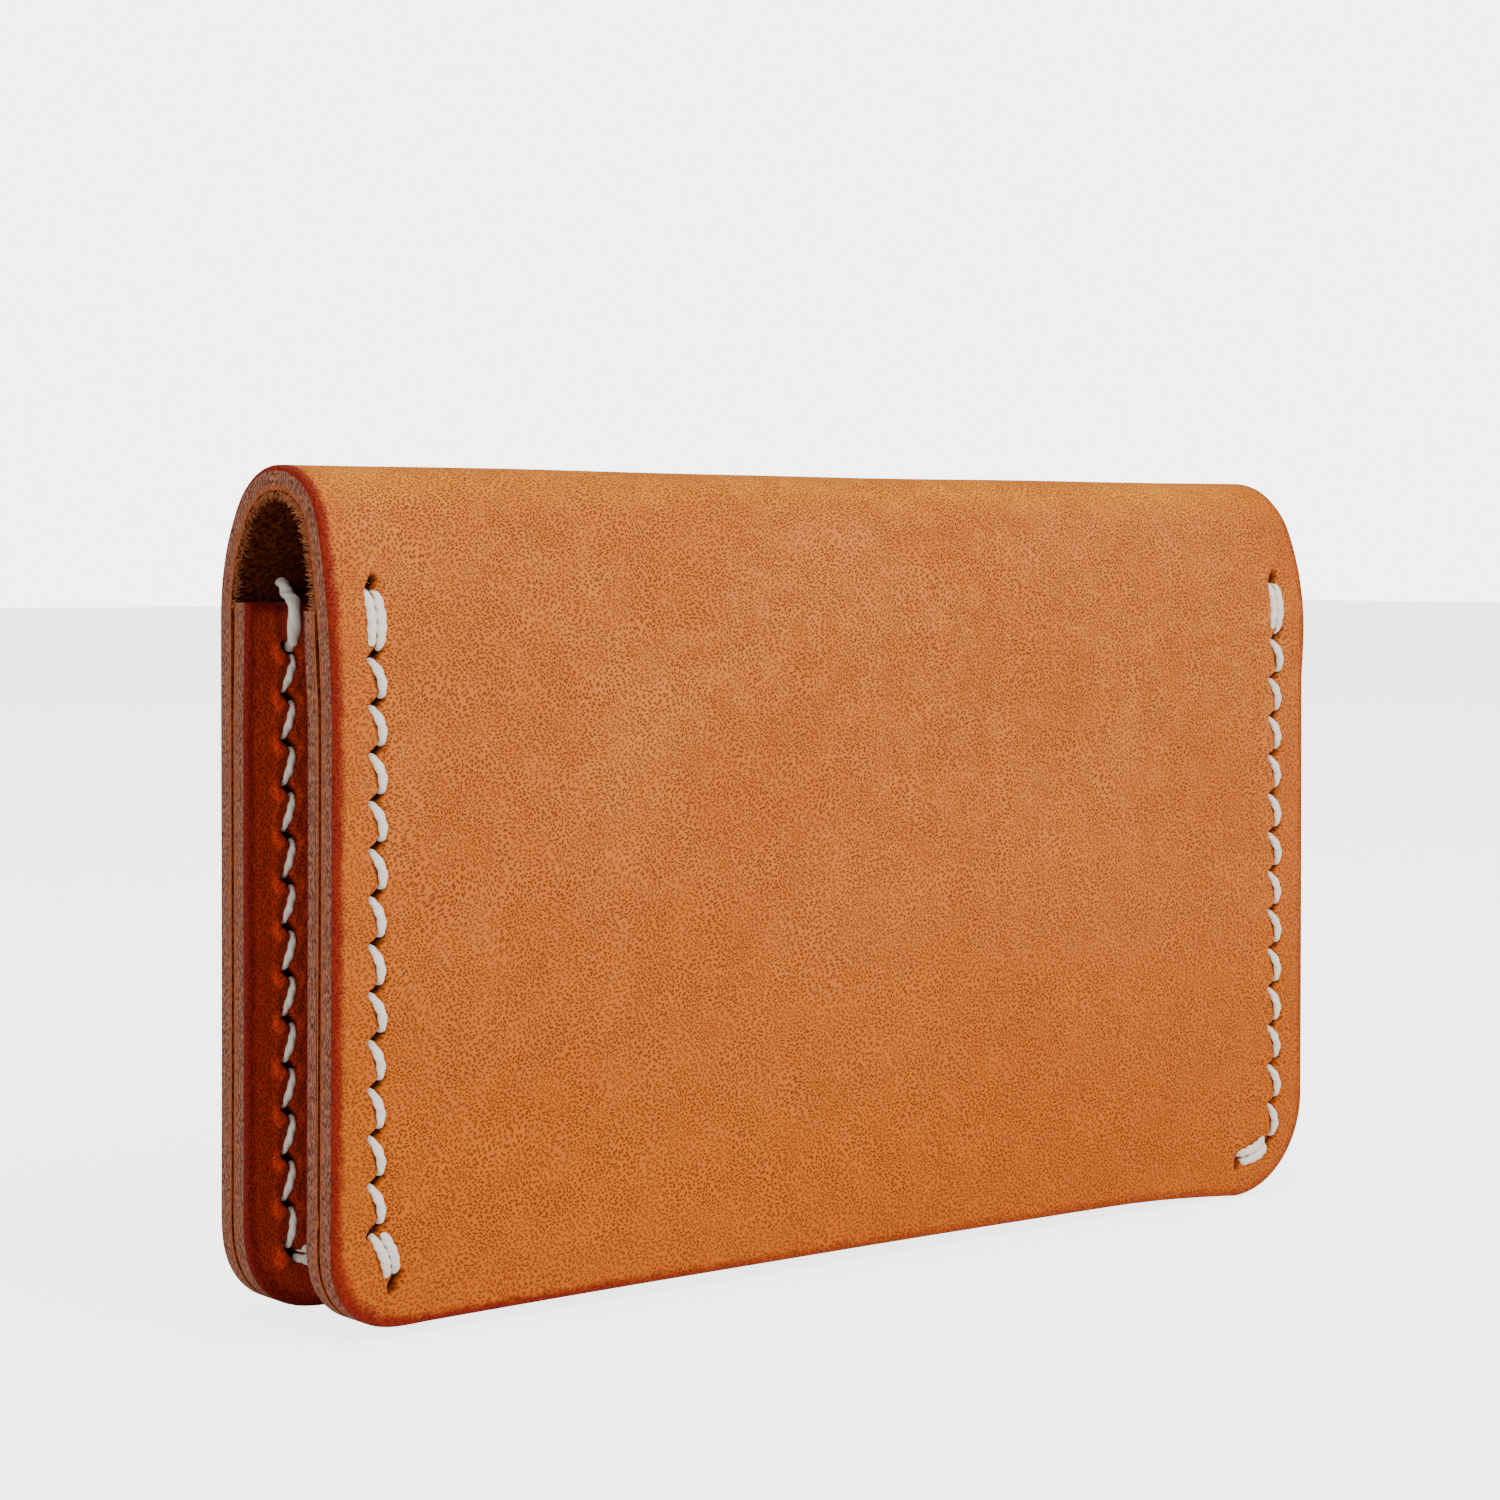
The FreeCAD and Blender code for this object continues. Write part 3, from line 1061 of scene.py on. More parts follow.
class LeatherPiece:
    """A leather sheet's mesh, which can be parted into pieces along its rows."""

    def __init__(self, sheet: Sheet, shell: Shell) -> None:
        """Places the mesh in space, and finds the directions that its surface faces.

        Args:
            sheet: The leather piece.
            shell: Its mesh in sheet coordinates.
        """
        self.shell = shell
        self.rim = sheet.rim_distance(shell.x, shell.s)
        self.layer = shell.depth / sheet.thickness
        points = sheet.place(shell.x, shell.s, shell.depth) * MM
        if signed_volume(points, shell.faces) < 0:
            shell.faces = shell.faces[:, ::-1]
        self.points = points
        whole = mesh_from("whole_sheet", points, shell.faces, shell.skins)
        normals = np.empty(len(points) * 3, np.float32)
        whole.vertex_normals.foreach_get("vector", normals)
        self.normals = normals.reshape(-1, 3)
        bpy.data.meshes.remove(whole)

    def part(
        self, name: str, low: float, high: float, finishes: list[bpy.types.Material]
    ) -> bpy.types.Object:
        """Makes an object from the rows between two places.

        Args:
            name: The object's name.
            low: Where the part begins, up the sheet.
            high: Where it ends.
            finishes: The grain's, the cut edge's and the flesh side's material.

        Returns:
            The object.
        """
        shell = self.shell
        middle = shell.s[shell.faces].mean(axis=1)
        chosen = (middle > low) & (middle < high)
        faces = shell.faces[chosen]
        used, renumbered = np.unique(faces, return_inverse=True)
        mesh = mesh_from(name, self.points[used], renumbered.reshape(-1, 4), shell.skins[chosen])
        add_values(mesh, "rim", self.rim[used])
        add_values(mesh, "layer", self.layer[used])
        # The slit attribute holds the painted shade of the slits and stitch beds.
        add_values(mesh, "slit", shell.dark[used])
        add_places(mesh, "as_made", self.points[used] / MM)
        add_places(mesh, "sheet", np.column_stack([shell.x[used], shell.s[used], np.zeros(len(used))]))
        mesh.normals_split_custom_set_from_vertices(self.normals[used].tolist())
        for finish in finishes:
            mesh.materials.append(finish)
        LOG.info("%s: %d faces", name, len(faces))
        return new_object(name, mesh)


# ---------------------------------------------------------------- finishes


def linear(red: int, green: int, blue: int) -> Colour:
    """A colour as a shader wants it.

    Args:
        red: Its red, from 0 to 255, as a paint chart gives it.
        green: Its green.
        blue: Its blue.

    Returns:
        The colour, from 0 to 1 and without gamma.
    """
    def one(value: int) -> float:
        """One channel, without its gamma."""
        share = value / 255
        return share / 12.92 if share <= 0.04045 else ((share + 0.055) / 1.055) ** 2.4
    return one(red), one(green), one(blue)


class Nodes:
    """Adds nodes to a tree and joins them."""

    def __init__(self, tree: bpy.types.NodeTree) -> None:
        """Keeps the tree.

        Args:
            tree: The node tree to add to.
        """
        self.tree = tree

    def add(self, kind: str, inputs: dict | None = None, **settings: object) -> bpy.types.Node:
        """Adds a node.

        Args:
            kind: The node's type.
            inputs: What goes to its sockets, by name or number: a value, or another node's output.
            settings: The node's own properties.

        Returns:
            The node.
        """
        node = self.tree.nodes.new(kind)
        for key, value in settings.items():
            setattr(node, key, value)
        for key, value in (inputs or {}).items():
            self.feed(node.inputs[key], value)
        return node

    def feed(self, socket: bpy.types.NodeSocket, value: object) -> None:
        """Gives a socket a value, or links it to an output.

        Args:
            socket: The socket.
            value: The value, or another node's output.
        """
        if isinstance(value, bpy.types.NodeSocket):
            self.tree.links.new(value, socket)
        elif isinstance(value, tuple) and len(value) == 3 and socket.type == "RGBA":
            socket.default_value = (*value, 1.0)
        else:
            socket.default_value = value

    def math(self, operation: str, *values: object) -> bpy.types.NodeSocket:
        """The result of a sum on one, two or three numbers."""
        return self.add("ShaderNodeMath", dict(enumerate(values)), operation=operation).outputs[0]

    def share(self, value: object, part: object) -> bpy.types.NodeSocket:
        """A part of a value."""
        return self.math("MULTIPLY", value, part)

    def vector(self, operation: str, inputs: dict) -> bpy.types.NodeSocket:
        """The result of a sum on vectors."""
        return self.add("ShaderNodeVectorMath", inputs, operation=operation).outputs[0]

    def effect(self, group: bpy.types.NodeTree, inputs: dict) -> dict[str, bpy.types.NodeSocket]:
        """The outputs of a shared effect, by name."""
        return self.add("ShaderNodeGroup", inputs, node_tree=group).outputs

    def ramp(self, value: bpy.types.NodeSocket, low: float, high: float) -> bpy.types.NodeSocket:
        """0 to 1, smoothly, as the value goes from low to high. Low may be the larger."""
        inputs = {"Value": value, "From Min": low, "From Max": high}
        return self.add("ShaderNodeMapRange", inputs, interpolation_type="SMOOTHSTEP").outputs[0]

    def mix(self, share: object, first: object, second: object) -> bpy.types.NodeSocket:
        """A blend of two colours."""
        return self.add("ShaderNodeMix", {0: share, 6: first, 7: second}, data_type="RGBA").outputs[2]

    def noise(
        self, vector: object, scale: float, detail: float = 2.0, rough: float = 0.5
    ) -> bpy.types.NodeSocket:
        """Cloudy noise around one half."""
        inputs = {"Vector": vector, "Scale": scale, "Detail": detail, "Roughness": rough}
        return self.add("ShaderNodeTexNoise", inputs).outputs["Fac"]

    def value_of(self, name: str) -> bpy.types.NodeSocket:
        """A number stored on the mesh."""
        return self.add("ShaderNodeAttribute", attribute_name=name).outputs["Fac"]

    def vector_of(self, name: str) -> bpy.types.NodeSocket:
        """A vector stored on the mesh."""
        return self.add("ShaderNodeAttribute", attribute_name=name).outputs["Vector"]


class Effects:
    """The surface effects that several finishes share, as node groups."""

    def __init__(self) -> None:
        """Makes the groups."""
        self.pores = self._pores()
        self.mottle = self._mottle()
        self.fibres = self._fibres()

    @staticmethod
    def _group(
        name: str, inputs: dict[str, str], outputs: dict[str, str]
    ) -> tuple[Nodes, dict, bpy.types.Node]:
        """Starts a group with named sockets.

        Args:
            name: The group's name.
            inputs: The type of each input.
            outputs: The type of each output.

        Returns:
            The group's nodes, its inputs by name, and its output node.
        """
        tree = bpy.data.node_groups.new(name, "ShaderNodeTree")
        for label, kind in inputs.items():
            tree.interface.new_socket(label, in_out="INPUT", socket_type=kind)
        for label, kind in outputs.items():
            tree.interface.new_socket(label, in_out="OUTPUT", socket_type=kind)
        nodes = Nodes(tree)
        source = nodes.add("NodeGroupInput")
        given = {label: source.outputs[label] for label in inputs}
        return nodes, given, nodes.add("NodeGroupOutput")

    def _pores(self) -> bpy.types.NodeTree:
        """The hair pores and fine creases of the grain.

        Returns:
            The group.
        """
        nodes, given, result = self._group(
            "grain_pores",
            {"Place": "NodeSocketVector", "Density": "NodeSocketFloat"},
            {"Pore": "NodeSocketFloat", "Height": "NodeSocketFloat"},
        )
        # The rows of pores wander, slant across the hide and are drawn out along it.
        drift = nodes.add("ShaderNodeTexNoise", {"Vector": given["Place"], "Scale": 0.16, "Detail": 2.0})
        wander = nodes.vector("SCALE", {0: drift.outputs["Color"], 3: 3.2})
        place = nodes.vector("ADD", {0: given["Place"], 1: wander})
        slant = nodes.add("ShaderNodeVectorRotate", {"Vector": place, "Angle": 0.55}, rotation_type="Z_AXIS")
        drawn = nodes.vector("MULTIPLY", {0: slant.outputs[0], 1: (0.82, 1.20, 1.0)})
        cells = nodes.add("ShaderNodeTexVoronoi", {
            "Vector": drawn, "Scale": given["Density"], "Randomness": 0.72,
        }, voronoi_dimensions="2D")
        pore = nodes.ramp(cells.outputs["Distance"], 0.38, 0.10)
        # They are deeper in some patches than in others.
        patches = nodes.ramp(nodes.noise(given["Place"], 0.30, 2.0), 0.34, 0.62)
        pore = nodes.math("MULTIPLY", pore, nodes.math("MULTIPLY_ADD", patches, 0.3, 0.7))
        crease = nodes.noise(drawn, 1.9, 4.0, 0.65)
        nodes.feed(result.inputs["Pore"], pore)
        nodes.feed(result.inputs["Height"], nodes.math("MULTIPLY_ADD", pore, -0.8, crease))
        return nodes.tree

    def _mottle(self) -> bpy.types.NodeTree:
        """The slow drift of the tan over the hide.

        Returns:
            The group.
        """
        nodes, given, result = self._group(
            "hide_mottle", {"Place": "NodeSocketVector"}, {"Tone": "NodeSocketFloat"}
        )
        broad = nodes.noise(given["Place"], 0.045, 2.0)
        fine = nodes.noise(given["Place"], 0.6, 4.0, 0.6)
        tone = nodes.math("MULTIPLY_ADD", nodes.math("SUBTRACT", fine, 0.5), 0.9, broad)
        nodes.feed(result.inputs["Tone"], nodes.ramp(tone, 0.32, 0.68))
        return nodes.tree

    def _fibres(self) -> bpy.types.NodeTree:
        """Loose fibres, drawn out along whichever way the place is squeezed least.

        Returns:
            The group.
        """
        nodes, given, result = self._group(
            "loose_fibres",
            {"Place": "NodeSocketVector", "Squeeze": "NodeSocketVector"},
            {"Strand": "NodeSocketFloat", "Height": "NodeSocketFloat"},
        )
        place = nodes.vector("MULTIPLY", {0: given["Place"], 1: given["Squeeze"]})
        strand = nodes.noise(place, 1.0, 4.0, 0.65)
        clump = nodes.noise(given["Place"], 1.6, 3.0, 0.6)
        nodes.feed(result.inputs["Strand"], nodes.ramp(strand, 0.36, 0.66))
        nodes.feed(result.inputs["Height"], nodes.math("MULTIPLY_ADD", clump, 0.6, strand))
        return nodes.tree


@dataclass(frozen=True)
class Finish:
    """What every finish has.

    Args:
        name: The material's name.
    """

    name: str

    def material(self, effects: Effects) -> bpy.types.Material:
        """Makes the material.

        Args:
            effects: The shared node groups.

        Returns:
            The material.
        """
        made = bpy.data.materials.new(self.name)
        made.use_nodes = True
        nodes = Nodes(made.node_tree)
        self.dress(nodes, made.node_tree.nodes["Principled BSDF"], effects)
        return made

    def dress(self, nodes: Nodes, surface: bpy.types.Node, effects: Effects) -> None:
        """Fills in the surface's sockets."""
        raise NotImplementedError

    @staticmethod
    def coat(nodes: Nodes, surface: bpy.types.Node, colour: object, rough: float, shine: float) -> None:
        """Gives the surface its colour and its gloss.

        Args:
            nodes: The material's nodes.
            surface: The surface.
            colour: The colour.
            rough: How rough it is.
            shine: How strongly it reflects.
        """
        nodes.feed(surface.inputs["Base Color"], colour)
        nodes.feed(surface.inputs["Roughness"], rough)
        nodes.feed(surface.inputs["Specular IOR Level"], shine)

    @staticmethod
    def bump(nodes: Nodes, surface: bpy.types.Node, height: object, depth: float, strength: float) -> None:
        """Lets a height, whose whole swing is that depth in millimetres, tilt the surface."""
        inputs = {"Height": height, "Distance": depth * MM, "Strength": strength}
        nodes.feed(surface.inputs["Normal"], nodes.add("ShaderNodeBump", inputs).outputs[0])


@dataclass(frozen=True)
class GrainFinish(Finish):
    """The smooth outer side of the leather.

    Args:
        high: The tan below the fold, paler and pinker: a painted sheen.
        low: The tan by the standing edge, deeper and more orange, without the painted sheen.
        crown: The yellower tan over the top of the fold.
        deep: The deepest tan, for the mottle and for the painted shade inside the rim.
        pore: The colour in the pores.
        burnish: The colour of the rubbed rim.
        slit: The painted shade in the slits and stitch beds.
        torn: The colour of the flesh that the thread has pulled up beside a slit.
        rough: The surface's roughness.
        porous: How strongly the pores show.
    """

    high: Colour
    low: Colour
    crown: Colour
    deep: Colour
    pore: Colour
    burnish: Colour
    slit: Colour
    torn: Colour
    rough: float
    porous: float
    shine: ClassVar[float] = 0.13
    pore_density: ClassVar[float] = 3.1
    pore_depth: ClassVar[float] = 0.19
    # The heights over which the tan lightens into a painted sheen, and then turns yellower.
    painted_sheen_heights: ClassVar[Pair] = (4.0, 62.0)
    yellows: ClassVar[Pair] = (66.3, 69.6)
    # The distances from the rim over which the painted shade inside it deepens, and over which the rim is
    # rubbed.
    painted_rim_shade: ClassVar[Pair] = (6.5, 0.8)
    rubbed: ClassVar[Pair] = (1.65, 0.8)
    # Where along the fold the rim goes from little rubbed to well rubbed.
    handled: ClassVar[Pair] = (10.0, -45.0)
    # How deep the painted shade of a slit is, and how far a torn lip is raised, over which each takes its
    # colour.
    in_slit: ClassVar[Pair] = (0.0, 1.0)
    on_torn: ClassVar[Pair] = (-0.15, -0.7)

    def dress(self, nodes: Nodes, surface: bpy.types.Node, effects: Effects) -> None:
        """Mottled tan with dark pores, a painted sheen higher up, painted shade inside the rim, a burnished
        rim and painted shade in the slits.

        Args:
            nodes: The material's nodes.
            surface: Its surface.
            effects: The shared node groups.
        """
        place, rim, slit = nodes.vector_of("as_made"), nodes.value_of("rim"), nodes.value_of("slit")
        axes = nodes.add("ShaderNodeSeparateXYZ", {0: place}).outputs
        pores = nodes.effect(effects.pores, {"Place": nodes.vector_of("sheet"), "Density": self.pore_density})
        mottle = nodes.effect(effects.mottle, {"Place": place})
        # Painted sheen: the tan turns paler and pinker up the sheet.
        tan = nodes.mix(nodes.ramp(axes["Z"], *self.painted_sheen_heights), self.low, self.high)
        tan = nodes.mix(nodes.share(nodes.ramp(axes["Z"], *self.yellows), 0.95), tan, self.crown)
        tan = nodes.mix(nodes.share(mottle["Tone"], 0.5), tan, self.deep)
        tan = nodes.mix(nodes.share(pores["Pore"], self.porous), tan, self.pore)
        # Painted shade in a band inside the rim, where the surface falls away from the light.
        tan = nodes.mix(nodes.share(nodes.ramp(rim, *self.painted_rim_shade), 0.45), tan, self.deep)
        uneven = nodes.math("MULTIPLY_ADD", nodes.noise(place, 0.9, 3.0), 0.9, rim)
        handled = nodes.math("MULTIPLY_ADD", nodes.ramp(axes["X"], *self.handled), 0.45, 0.5)
        tan = nodes.mix(nodes.share(nodes.ramp(uneven, *self.rubbed), handled), tan, self.burnish)
        # Painted shade in the slits and stitch beds.
        tan = nodes.mix(nodes.ramp(slit, *self.in_slit), tan, self.slit)
        tan = nodes.mix(nodes.ramp(slit, *self.on_torn), tan, self.torn)
        self.coat(nodes, surface, tan, self.rough, self.shine)
        self.bump(nodes, surface, pores["Height"], self.pore_depth, 1.0)


@dataclass(frozen=True)
class CutFinish(Finish):
    """The cut edge of the leather, sanded but left fibrous.

    Args:
        pale: The colour of the fibre ends.
        dark: The colour between them.
        loose: The colour by the flesh side.
    """

    pale: Colour
    dark: Colour
    loose: Colour
    # How far through the leather its fibres begin to open, and are open.
    opens: ClassVar[Pair] = (0.85, 1.25)

    def dress(self, nodes: Nodes, surface: bpy.types.Node, effects: Effects) -> None:
        """Pale fibre ends on mauve brown, more orange and open towards the flesh side.

        Args:
            nodes: The material's nodes.
            surface: Its surface.
            effects: The shared node groups.
        """
        place = nodes.vector_of("as_made")
        fibres = nodes.effect(effects.fibres, {"Place": place, "Squeeze": (2.6, 7.0, 2.6)})
        body = nodes.mix(fibres["Strand"], self.dark, self.pale)
        layer = nodes.math("MULTIPLY_ADD", nodes.noise(place, 1.4, 3.0), 0.5, nodes.value_of("layer"))
        body = nodes.mix(nodes.share(nodes.ramp(layer, *self.opens), 0.75), body, self.loose)
        self.coat(nodes, surface, body, rough=0.72, shine=0.12)
        self.bump(nodes, surface, fibres["Height"], depth=0.16, strength=0.9)


@dataclass(frozen=True)
class FleshFinish(Finish):
    """The rough inner side of the leather, darker than its own colour: painted shade inside the fold.

    Args:
        nap: The colour of the raised fibres, darkened as painted shade.
        base: The colour below them, near black as painted shade.
    """

    nap: Colour
    base: Colour

    def dress(self, nodes: Nodes, surface: bpy.types.Node, effects: Effects) -> None:
        """A dull nap of fibres that lie every way, in dark colours that paint the shade inside the fold.

        Args:
            nodes: The material's nodes.
            surface: Its surface.
            effects: The shared node groups.
        """
        place = nodes.vector_of("as_made")
        fibres = nodes.effect(effects.fibres, {"Place": place, "Squeeze": (2.2, 3.2, 3.4)})
        self.coat(nodes, surface, nodes.mix(fibres["Strand"], self.base, self.nap), rough=0.95, shine=0.05)
        self.bump(nodes, surface, fibres["Height"], depth=0.3, strength=1.0)


@dataclass(frozen=True)
class ThreadFinish(Finish):
    """Waxed thread, or loose fibres of the leather.

    Args:
        pale: The colour of the filaments.
        shade: The colour between them.
    """

    pale: Colour
    shade: Colour

    def dress(self, nodes: Nodes, surface: bpy.types.Node, effects: Effects) -> None:
        """Fine filaments that wind along the strand.

        Args:
            nodes: The material's nodes.
            surface: Its surface.
            effects: The shared node groups.
        """
        strand = nodes.vector_of("strand")
        fibres = nodes.effect(effects.fibres, {"Place": strand, "Squeeze": (1.1, 9.0, 9.0)})
        self.coat(nodes, surface, nodes.mix(fibres["Strand"], self.shade, self.pale), rough=0.55, shine=0.35)
        self.bump(nodes, surface, fibres["Height"], depth=0.05, strength=0.8)


class Palette:
    """Every material of the wallet."""

    def __init__(self) -> None:
        """Makes the materials."""
        effects = Effects()
        # Grain colours: high holds a painted sheen, deep is also the painted shade inside the rim, and slit
        # is the painted shade in the slits and stitch beds.
        self.cover_grain = GrainFinish(
            "cover_grain",
            high=linear(221, 124, 52),
            low=linear(208, 106, 20),
            crown=linear(238, 142, 30),
            deep=linear(200, 96, 18),
            pore=linear(104, 34, 6),
            burnish=linear(136, 22, 8),
            slit=linear(48, 10, 4),
            torn=linear(200, 74, 20),
            rough=0.5,
            porous=0.66,
        ).material(effects)
        self.pocket_grain = GrainFinish(
            "pocket_grain",
            high=linear(196, 64, 22),
            low=linear(190, 58, 18),
            crown=linear(196, 64, 22),
            deep=linear(168, 44, 14),
            pore=linear(104, 24, 5),
            burnish=linear(122, 18, 6),
            slit=linear(44, 9, 4),
            torn=linear(222, 66, 34),
            rough=0.55,
            porous=0.3,
        ).material(effects)
        self.cut_edge = CutFinish(
            "cut_edge", pale=linear(190, 126, 96), dark=linear(84, 36, 26), loose=linear(188, 86, 30),
        ).material(effects)
        # The flesh side is darker than its own colour: painted shade inside the fold.
        self.flesh_side = FleshFinish(
            "flesh_side", nap=linear(120, 54, 20), base=linear(50, 16, 5),
        ).material(effects)
        # The loose fibres are orange, and paler than the flesh they come from: a painted highlight on them at
        # the rim of the fold.
        self.fibre = ThreadFinish(
            "loose_fibre", pale=linear(244, 162, 98), shade=linear(156, 70, 28),
        ).material(effects)
        self.thread = ThreadFinish(
            "cream_thread", pale=linear(255, 253, 246), shade=linear(238, 226, 204),
        ).material(effects)


# ---------------------------------------------------------------- sub-assemblies


@dataclass(frozen=True)
class Strand:
    """A length of thread along a smooth line.

    Args:
        line: Points along its middle, (n, 3), in millimetres.
        facing: The outward direction, towards which the thread is flattened.
        wide: Half of its width.
        thick: Half of its thickness.
        twist: How many turns its two plies make.
        around: How many vertices go round it.
        lobed: How far the plies bulge, as a share of its size.
        taper: How wide the ends are beside the middle.
        wound_at: How far from the middle its fibres are taken to run.
    """

    line: np.ndarray
    facing: np.ndarray
    wide: float = 0.40
    thick: float = 0.31
    twist: float = 1.4
    around: int = 18
    lobed: float = 0.11
    taper: float = 0.72
    wound_at: float = 0.4

    def mesh_arrays(self) -> tuple[np.ndarray, np.ndarray, np.ndarray]:
        """Sweeps a two-ply section along the line.

        Returns:
            The points, the faces, and each point's place along and around the strand.
        """
        count = len(self.line)
        share = np.linspace(0.0, 1.0, count)
        along = np.gradient(self.line, axis=0)
        along /= np.linalg.norm(along, axis=1, keepdims=True)
        across = np.cross(along, self.facing)
        across /= np.linalg.norm(across, axis=1, keepdims=True)
        up = np.cross(across, along)
        angle = np.linspace(0.0, 2 * math.pi, self.around, endpoint=False)
        wound = angle[None, :] - 2 * math.pi * self.twist * share[:, None]
        lobes = 1 + self.lobed * np.cos(2 * wound)
        size = (self.taper + (1 - self.taper) * np.sin(math.pi * share) ** 0.5)[:, None] * lobes
        points = (
            self.line[:, None, :]
            + (self.wide * size * np.cos(angle))[:, :, None] * across[:, None, :]
            + (self.thick * size * np.sin(angle))[:, :, None] * up[:, None, :]
        ).reshape(-1, 3)
        ring, spot = np.meshgrid(np.arange(count - 1), np.arange(self.around), indexing="ij")
        after = (spot + 1) % self.around
        faces = np.stack([
            ring * self.around + spot,
            ring * self.around + after,
            (ring + 1) * self.around + after,
            (ring + 1) * self.around + spot,
        ], axis=-1).reshape(-1, 4)
        step = np.linalg.norm(np.diff(self.line, axis=0), axis=1)
        length = np.concatenate([[0.0], np.cumsum(step)])
        marks = np.stack([
            np.broadcast_to(length[:, None], wound.shape),
            self.wound_at * np.cos(wound),
            self.wound_at * np.sin(wound),
        ], axis=-1).reshape(-1, 3)
        return points, faces, marks


@dataclass(frozen=True)
class Mark:
    """Where one of many alike shapes goes.

    Args:
        place: Where it is, in millimetres.
        turn: How it is turned, as Euler angles.
        shape: Which shape it is, by its number.
        stretch: How many times longer it is made along each of its axes.
    """

    place: np.ndarray
    turn: np.ndarray
    shape: int
    stretch: tuple[float, float, float]


class Shapes:
    """A few shapes, kept out of sight for a layer to repeat."""

    def __init__(self, name: str) -> None:
        """Starts an empty collection.

        Args:
            name: The collection's name.
        """
        self.name = name
        self.collection = bpy.data.collections.new(name)
        bpy.context.scene.collection.children.link(self.collection)

    def add(self, number: int, strands: list[Strand]) -> None:
        """Adds one shape, in metres.

        Args:
            number: Which shape it is. It begins the shape's name, because shapes are picked in name order.
            strands: The lengths of thread or fibre in it.
        """
        points, faces, marks, start = [], [], [], 0
        for strand in strands:
            one, some, place = strand.mesh_arrays()
            points.append(one)
            faces.append(some + start)
            marks.append(place)
            start += len(one)
        every = np.concatenate(faces)
        mesh = mesh_from(f"{number}_{self.name}", np.concatenate(points) * MM, every, np.zeros(len(every)))
        add_places(mesh, "strand", np.concatenate(marks))
        self.collection.objects.link(bpy.data.objects.new(mesh.name, mesh))

    def remove(self) -> None:
        """Takes the shapes away once they have been repeated."""
        for shape in list(self.collection.objects):
            bpy.data.objects.remove(shape)
        bpy.data.collections.remove(self.collection)


class StitchShapes(Shapes):
    """One of each shape of stitch."""

    steps = 26
    single_length = 3.0
    double_length = 4.6
    # How far each of a doubled stitch's strands is from its middle.
    double_apart = 0.45
    # How many times the line over the mouth is evened out.
    smoothings = 14

    def __init__(self, sizes: Sizes, seam: Seam) -> None:
        """Makes the shapes.

        Args:
            sizes: The wallet's sizes.
            seam: Any seam, for where the holes by the mouth are.
        """
        super().__init__("stitch")
        out = np.array([0.0, -1.0, 0.0])
        single = self._arc(self.single_length, bow=0.20, rise=0.28, sink=0.55)
        self.add(Stitch.SINGLE, [Strand(single, out)])
        double = self._arc(self.double_length, bow=0.10, rise=0.30, sink=0.55)
        self.add(Stitch.DOUBLE, [
            Strand(double + np.array([side * self.double_apart, 0, 0]), out, wide=0.43, twist=2.2)
            for side in (-1, 1)
        ])
        over = self._over_the_mouth(sizes, seam)
        self.add(Stitch.WRAP, [Strand(over, out, wide=0.60, thick=0.42, twist=2.6)])
        reverse = self._arc(self.single_length, bow=0.04, rise=0.16, sink=0.5)
        self.add(Stitch.REVERSE, [Strand(reverse, out, wide=0.33)])

    def _arc(self, length: float, bow: float, rise: float, sink: float) -> np.ndarray:
        """A stitch's middle line, which runs down from the origin and dives into a hole at each end.

        Args:
            length: How long it is.
            bow: How far it bows out sideways.
            rise: How high it stands above its bed.
            sink: How far its ends dive below.

        Returns:
            The line's points, (n, 3), in millimetres.
        """
        share = np.linspace(0.0, 1.0, self.steps)
        lift = np.sin(math.pi * share) ** 0.45
        return np.column_stack([bow * np.sin(math.pi * share), -(rise + sink) * lift + sink, -length * share])

    def _over_the_mouth(self, sizes: Sizes, seam: Seam) -> np.ndarray:
        """The line from the top hole out of the cover's flesh side, over the mouth and down the pocket.

        Its origin is the seam's top hole, on the middle plane.

        Args:
            sizes: The wallet's sizes.
            seam: Any seam, for where the holes by the mouth are.

        Returns:
            The line's points, (n, 3), in millimetres.
        """
        top, first = seam.holes()[:2]
        inside, face = sizes.pocket_back, sizes.pocket_face - PocketSheet.mouth_lift
        mouth, end = sizes.mouth - top[1], first[1] - top[1]
        corners = np.array([
            (inside + 0.5, 0.0),
            (inside - 0.75, -0.15),
            (inside - 1.5, mouth + 0.42),
            (face - 0.12, mouth + 0.1),
            (face - 0.05, end + 1.1),
            (face + 0.75, end),
        ])
        share = np.linspace(0.0, 1.0, 2 * self.steps)
        knots = np.linspace(0.0, 1.0, len(corners))
        line = np.column_stack([np.interp(share, knots, corners[:, axis]) for axis in (0, 1)])
        for _ in range(self.smoothings):
            line[1:-1] = (line[:-2] + 2 * line[1:-1] + line[2:]) / 4
        return np.column_stack([np.zeros(len(line)), line])


